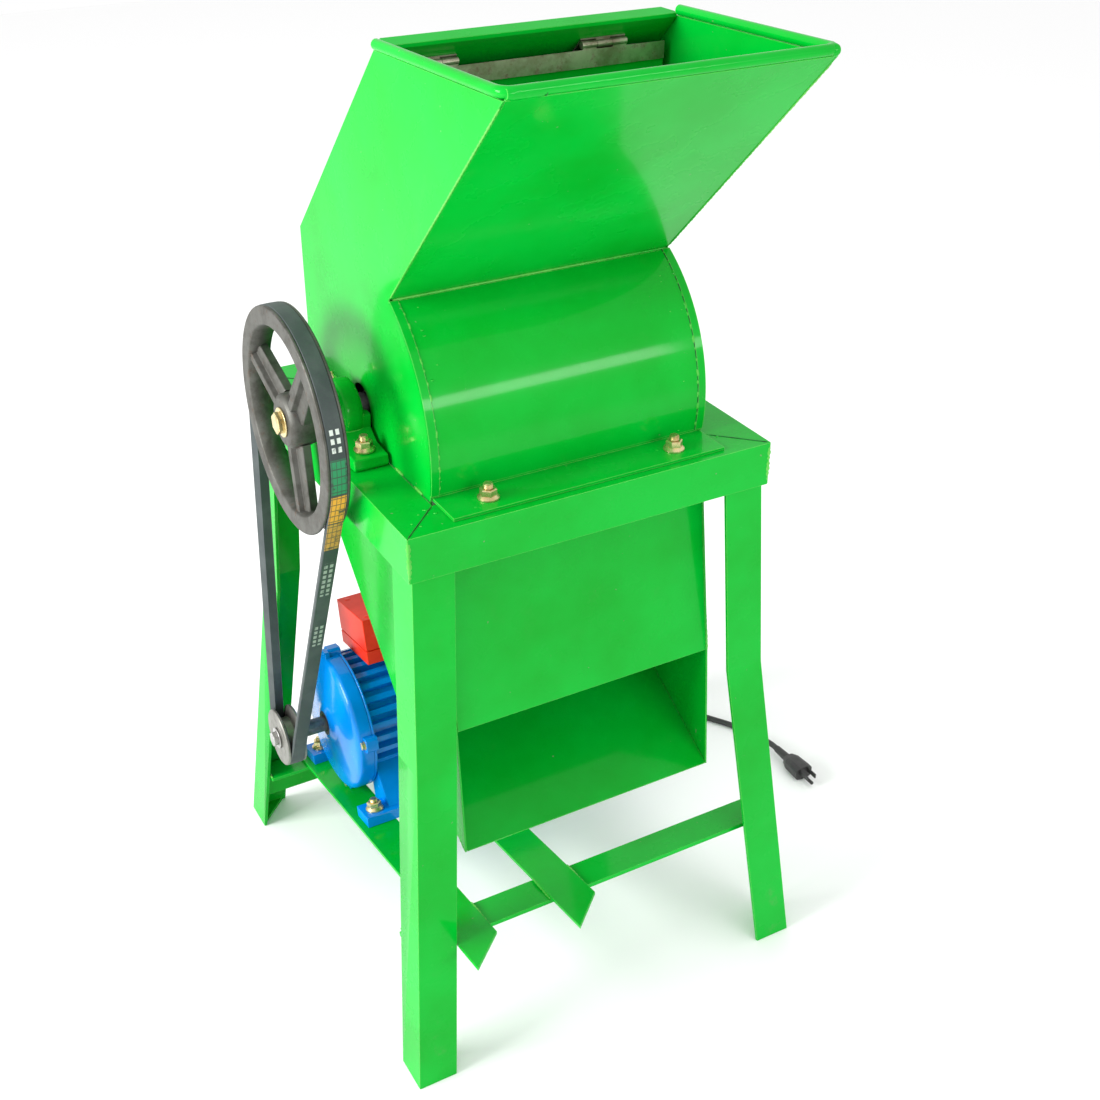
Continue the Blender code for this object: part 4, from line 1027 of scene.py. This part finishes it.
def belt_finish():
    """Dark cloth-covered rubber with printed marks, worn through in places."""
    skin = Finish("belt_rubber", 0.62)
    run = skin.node("ShaderNodeAttribute", {"attribute_name": "run"}, {}, "Fac")
    on_back = skin.node("ShaderNodeAttribute", {"attribute_name": "outside"}, {}, "Fac")
    side = (skin.along("X") - BELT_X).maths("ABSOLUTE")
    inside = 1 - side.above(0.0074, 0.0080)

    def band(start, end):
        return run.above(start, start + 0.0008) - run.above(end - 0.0008, end)

    cloth = skin.noise(30, 4.0, 0.6)
    colour = skin.blend(cloth.above(0.35, 0.7), (0.030, 0.042, 0.043), (0.056, 0.071, 0.070))
    worn = skin.noise(120, 4.0, 0.6).above(0.30, 0.46)
    print_on = on_back.above(0.3, 0.7) * inside * worn
    in_pitch = run.maths("FLOORED_MODULO", TICK_PITCH)
    ticks = in_pitch.above(0.0030, 0.0034)
    ticks = ticks * side.above(0.0010, 0.0014) * (1 - side.above(0.0046, 0.0050))
    for start, end, ink, strength in (
            (0.032, 0.071, (0.015, 0.26, 0.10), 0.88),
            (0.073, 0.113, (0.85, 0.36, 0.03), 0.92),
            (0.114, 0.156, (0.72, 0.34, 0.05), 0.80)):
        colour = skin.blend(band(start, end) * print_on * strength, colour, ink)
    grid = 1 - in_pitch.above(0.0070, 0.0074)
    grid = grid * (1 - side.maths("PINGPONG", 0.0022).above(0.0016, 0.0019) * 0.8)
    lines = (1 - grid) * band(0.032, 0.156) * on_back
    colour = skin.blend(lines * 0.8, colour, (0.035, 0.045, 0.045))
    colour = skin.blend(band(0.002, 0.0262) * ticks * print_on * 0.85, colour, CHALK)
    faint = (band(0.178, 0.236) + band(0.290, 0.330)) * ticks * print_on
    colour = skin.blend(faint * 0.45, colour, CHALK)
    skin.put("Base Color", colour)
    skin.put("Roughness", cloth * 0.2 + 0.48)
    skin.bump(skin.noise(700, 2.0), 0.25, 0.0003)
    return skin.material


def drive_belt():
    """The belt's V section carried round its line."""
    section = [(-BELT_FOOT, -BELT_H), (-BELT_TOP, -0.0012), (-BELT_TOP + 0.0008, 0.0),
               (0.0, 0.0002), (BELT_TOP - 0.0008, 0.0), (BELT_TOP, -0.0012),
               (BELT_FOOT, -BELT_H)]
    line, marks = belt_line()
    bm = bmesh.new()
    run = bm.verts.layers.float.new("run")
    outside = bm.verts.layers.float.new("outside")
    rings = []
    for (point, way), mark in zip(line, marks):
        ring = []
        for k, (x, depth) in enumerate(section):
            spot = point + way * depth
            vert = bm.verts.new((BELT_X + x, spot.x, spot.y))
            vert[run] = mark
            vert[outside] = 1.0 if 2 <= k <= 4 and -0.5 < mark < UNMARKED else 0.0
            ring.append(vert)
        rings.append(ring)
    for ring, following in zip(rings, rings[1:] + rings[:1]):
        for i in range(len(ring)):
            j = (i + 1) % len(ring)
            bm.faces.new((ring[i], ring[j], following[j], following[i]))
    belt = shell("v_belt", bm, belt_finish(), "stand", smooth=50)
    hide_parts("drive_belt")


drive_belt()

# ------------------------------------------------------------------ motor
# Foot-mounted single-phase motor, sprayed bright gloss blue: finned frame,
# smooth cast end shield with four through bolts, and a pressed fan cover.
BELL_X = (-0.172, -0.143)
BELL_R = 0.0875
BOLT_R = 0.0888
LUG_INNER, LUG_OUTER, LUG_TIP = 0.0790, 0.0928, 0.0956
LUG_HALF, LUG_NARROW, LUG_T = 0.0092, 0.0064, 0.0150
KEY_X, KEY_LENGTH = -0.2030, 0.0240
KEY_HALF, KEY_FOOT, KEY_TOP = 0.0030, 0.0080, 0.0118
FAN_X = 0.088
FIRST_LUG = math.radians(88)


def motor_blue():
    """Hard gloss blue with a little dust and chipped edges."""
    paint = Finish("motor_blue", 0.25, coat=0.35)
    paint.put("Specular IOR Level", 0.15)
    paint.put("Coat Roughness", 0.05)
    clouds = paint.noise(12, 4.0, 0.6).above(0.35, 0.65)
    colour = paint.blend(clouds, (0.0, 0.195, 0.64), (0.0, 0.24, 0.76))
    dust = paint.noise(48, 6.0, 0.7).above(0.60, 0.80)
    colour = paint.blend(dust * 0.18, colour, (0.30, 0.38, 0.46))
    chip = paint.edges(0.0010) * paint.noise(70, 5.0, 0.7).above(0.64, 0.68)
    paint.put("Base Color", paint.blend(chip, colour, (0.16, 0.17, 0.18)))
    paint.put("Roughness", dust * 0.25 + 0.22)
    paint.bump(paint.noise(160, 3.0) * 0.6 + paint.noise(20, 2.0), 0.10, 0.0010)
    return paint.material


BLUE = motor_blue()
repaint(["motor_frame"], BLUE, 0.0008)
repaint(["motor_fan_cover"], BLUE, 0.0012)


def motor_spot(x, radius, degrees):
    """A place round the motor's axis; 0 points along +Y."""
    a = math.radians(degrees)
    return (x, MOTOR_Y + radius * math.cos(a), MOTOR_Z + radius * math.sin(a))


def end_shield():
    """Shallow cone with a deep rim and four bolted lugs on the joint."""
    face, joint = BELL_X
    bore = 0.0100
    bm = bmesh.new()
    lathe(bm, [(face - 0.0030, bore), (face - 0.0030, 0.0160), (face - 0.0024, 0.0190),
               (face - 0.0002, 0.0230), (face + 0.0010, 0.0300), (face + 0.0050, BELL_R - 0.0070),
               (face + 0.0068, BELL_R - 0.0025), (face + 0.0092, BELL_R - 0.0004),
               (face + 0.0120, BELL_R), (joint - 0.0040, BELL_R), (joint - 0.0036, BELL_R - 0.0008),
               (joint - 0.0024, BELL_R - 0.0008), (joint - 0.0020, BELL_R), (joint, BELL_R),
               (joint, BELL_R - 0.0110), (joint - 0.0100, BELL_R - 0.0130),
               (face + 0.0110, BELL_R - 0.0180), (face + 0.0060, 0.0280), (face + 0.0060, bore)],
          MOTOR_Y, MOTOR_Z, 112)
    for i in range(4):
        lug = [(joint - LUG_T, u, v) for u, v in (
            (LUG_INNER, -LUG_HALF), (LUG_OUTER, -LUG_HALF), (LUG_TIP, -LUG_NARROW),
            (LUG_TIP, LUG_NARROW), (LUG_OUTER, LUG_HALF), (LUG_INNER, LUG_HALF))]
        verts = prism(bm, lug, (LUG_T, 0, 0))
        turn = Matrix.Rotation(MOTOR_TILT + FIRST_LUG + math.radians(90 * i + 90), 3, "X")
        place(bm, verts, turn, (0, MOTOR_Y, MOTOR_Z))
    tab_x = face + 0.008
    tab = prism(bm, [(tab_x, -0.010, 0.082), (tab_x, 0.010, 0.082),
                     (tab_x, 0.007, 0.094), (tab_x, -0.007, 0.094)], (0.006, 0, 0))
    place(bm, tab, Matrix.Rotation(MOTOR_TILT, 3, "X"), (0, MOTOR_Y, MOTOR_Z))
    shield = shell("motor_end_shield", bm, BLUE, "stand", 0.0006, 34)
    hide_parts("motor_bell")
    bm = bmesh.new()
    for i in range(4):
        a = MOTOR_TILT + FIRST_LUG + math.radians(90 * i)
        y = MOTOR_Y - BOLT_R * math.sin(a)
        z = MOTOR_Z + BOLT_R * math.cos(a)
        seat = joint - LUG_T
        lathe(bm, [(seat + 0.0002, 0.0), (seat + 0.0002, 0.0056), (seat - 0.0008, 0.0056),
                   (seat - 0.0008, 0.0)], y, z, 24)
        lathe(bm, [(seat - 0.0006, 0.0), (seat - 0.0006, 0.0046), (seat - 0.0040, 0.0046),
                   (seat - 0.0046, 0.0040), (seat - 0.0046, 0.0)], y, z, 6)
    shell("end_shield_bolts", bm, ZINC, "stand", smooth=28)
    bm = bmesh.new()
    lathe(bm, [(face - 0.0029, bore), (face - 0.0034, bore + 0.0006), (face - 0.0034, 0.0148),
               (face - 0.0029, 0.0154)], MOTOR_Y, MOTOR_Z, 48)
    shell("shaft_seal", bm, BLACK, "stand", smooth=30)
    bm = bmesh.new()
    key = prism(bm, [(KEY_X, -KEY_HALF, KEY_FOOT), (KEY_X, KEY_HALF, KEY_FOOT),
                     (KEY_X, KEY_HALF, KEY_TOP), (KEY_X, -KEY_HALF, KEY_TOP)],
                (KEY_LENGTH, 0, 0))
    place(bm, key, Matrix.Rotation(0.9, 3, "X"), (0, MOTOR_Y, MOTOR_Z))
    shell("shaft_key", bm, DARK_STEEL, "motor_spindle", 0.0004, 30)


def fan_grille():
    """Rings and spokes over the fan inlet, and the cover's three screws."""
    x = FAN_X - 0.0016
    lines = [[motor_spot(x, radius, 10 * k) for k in range(37)]
             for radius in (0.0100, 0.0195, 0.0285)]
    lines += [[motor_spot(x, r, 60 * k) for r in (0.002, 0.0312)] for k in range(6)]
    tube("fan_grille", lines, 0.0013, BLUE, "stand", 2)
    bm = bmesh.new()
    for k in range(3):
        spot = motor_spot(0, 0.0782, 90 + 120 * k)
        verts = lathe(bm, [(0, 0.0), (0, 0.0042), (0.0012, 0.0040), (0.0024, 0.0026),
                           (0.0028, 0.0)], 0, 0, 20)
        place(bm, verts, about_x(120 * k) @ UPRIGHT, (0.030, spot[1], spot[2]))
    shell("fan_cover_screws", bm, ZINC, "stand", smooth=30)


end_shield()
fan_grille()

# ------------------------------------------------------------------ terminal box
# Moulded orange-red box on the motor, with a screwed lid.
BOX_X = (-0.124, -0.030)
BOX_V = (-0.043, 0.040)
BOX_N = (0.0798, 0.138)
LID = 0.0400
LID_GAP = 0.0016
SCREW_INSET = 0.010


def red_plastic():
    """Satin orange-red moulding, dusty in patches."""
    skin = Finish("red_plastic", 0.38)
    skin.put("Specular IOR Level", 0.10)
    clouds = skin.noise(22, 4.0, 0.6).above(0.35, 0.7)
    colour = skin.blend(clouds, (0.76, 0.030, 0.010), (0.86, 0.048, 0.018))
    dust = skin.noise(70, 6.0, 0.7).above(0.58, 0.80)
    skin.put("Base Color", skin.blend(dust * 0.22, colour, (0.80, 0.48, 0.36)))
    skin.put("Roughness", dust * 0.25 + 0.32)
    skin.bump(skin.noise(600, 2.0), 0.15, 0.0003)
    return skin.material


RED = red_plastic()


def terminal_box():
    """Base, a narrow step and the lid, then four screws in the lid."""
    parting = BOX_N[1] - LID
    bm = bmesh.new()
    for inset, n0, n1 in ((0.0, BOX_N[0], parting - 0.0012),
                          (LID_GAP, parting - 0.0014, parting + 0.0004),
                          (0.0, parting, BOX_N[1])):
        x0, x1 = BOX_X[0] + inset, BOX_X[1] - inset
        v0, v1 = BOX_V[0] + inset, BOX_V[1] - inset
        prism(bm, [on_motor(x0, v0, n0), on_motor(x1, v0, n0),
                   on_motor(x1, v1, n0), on_motor(x0, v1, n0)],
              Vector(on_motor(0, 0, n1)) - Vector(on_motor(0, 0, n0)))
    box = shell("terminal_box_shell", bm, RED, "stand", 0.0040, 38)
    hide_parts("terminal_box")
    bm = bmesh.new()
    for x in (BOX_X[0] + SCREW_INSET, BOX_X[1] - SCREW_INSET):
        for v in (BOX_V[0] + SCREW_INSET, BOX_V[1] - SCREW_INSET):
            verts = lathe(bm, [(-0.001, 0.0), (-0.001, 0.0036), (0.0004, 0.0034),
                               (0.0008, 0.0022), (0.0008, 0.0)], 0, 0, 20)
            matrix = Matrix.Rotation(MOTOR_TILT, 3, "X") @ UPRIGHT
            place(bm, verts, matrix, on_motor(x, v, BOX_N[1] - 0.0002))
    shell("terminal_box_screws", bm, RED, "stand", smooth=30)


terminal_box()
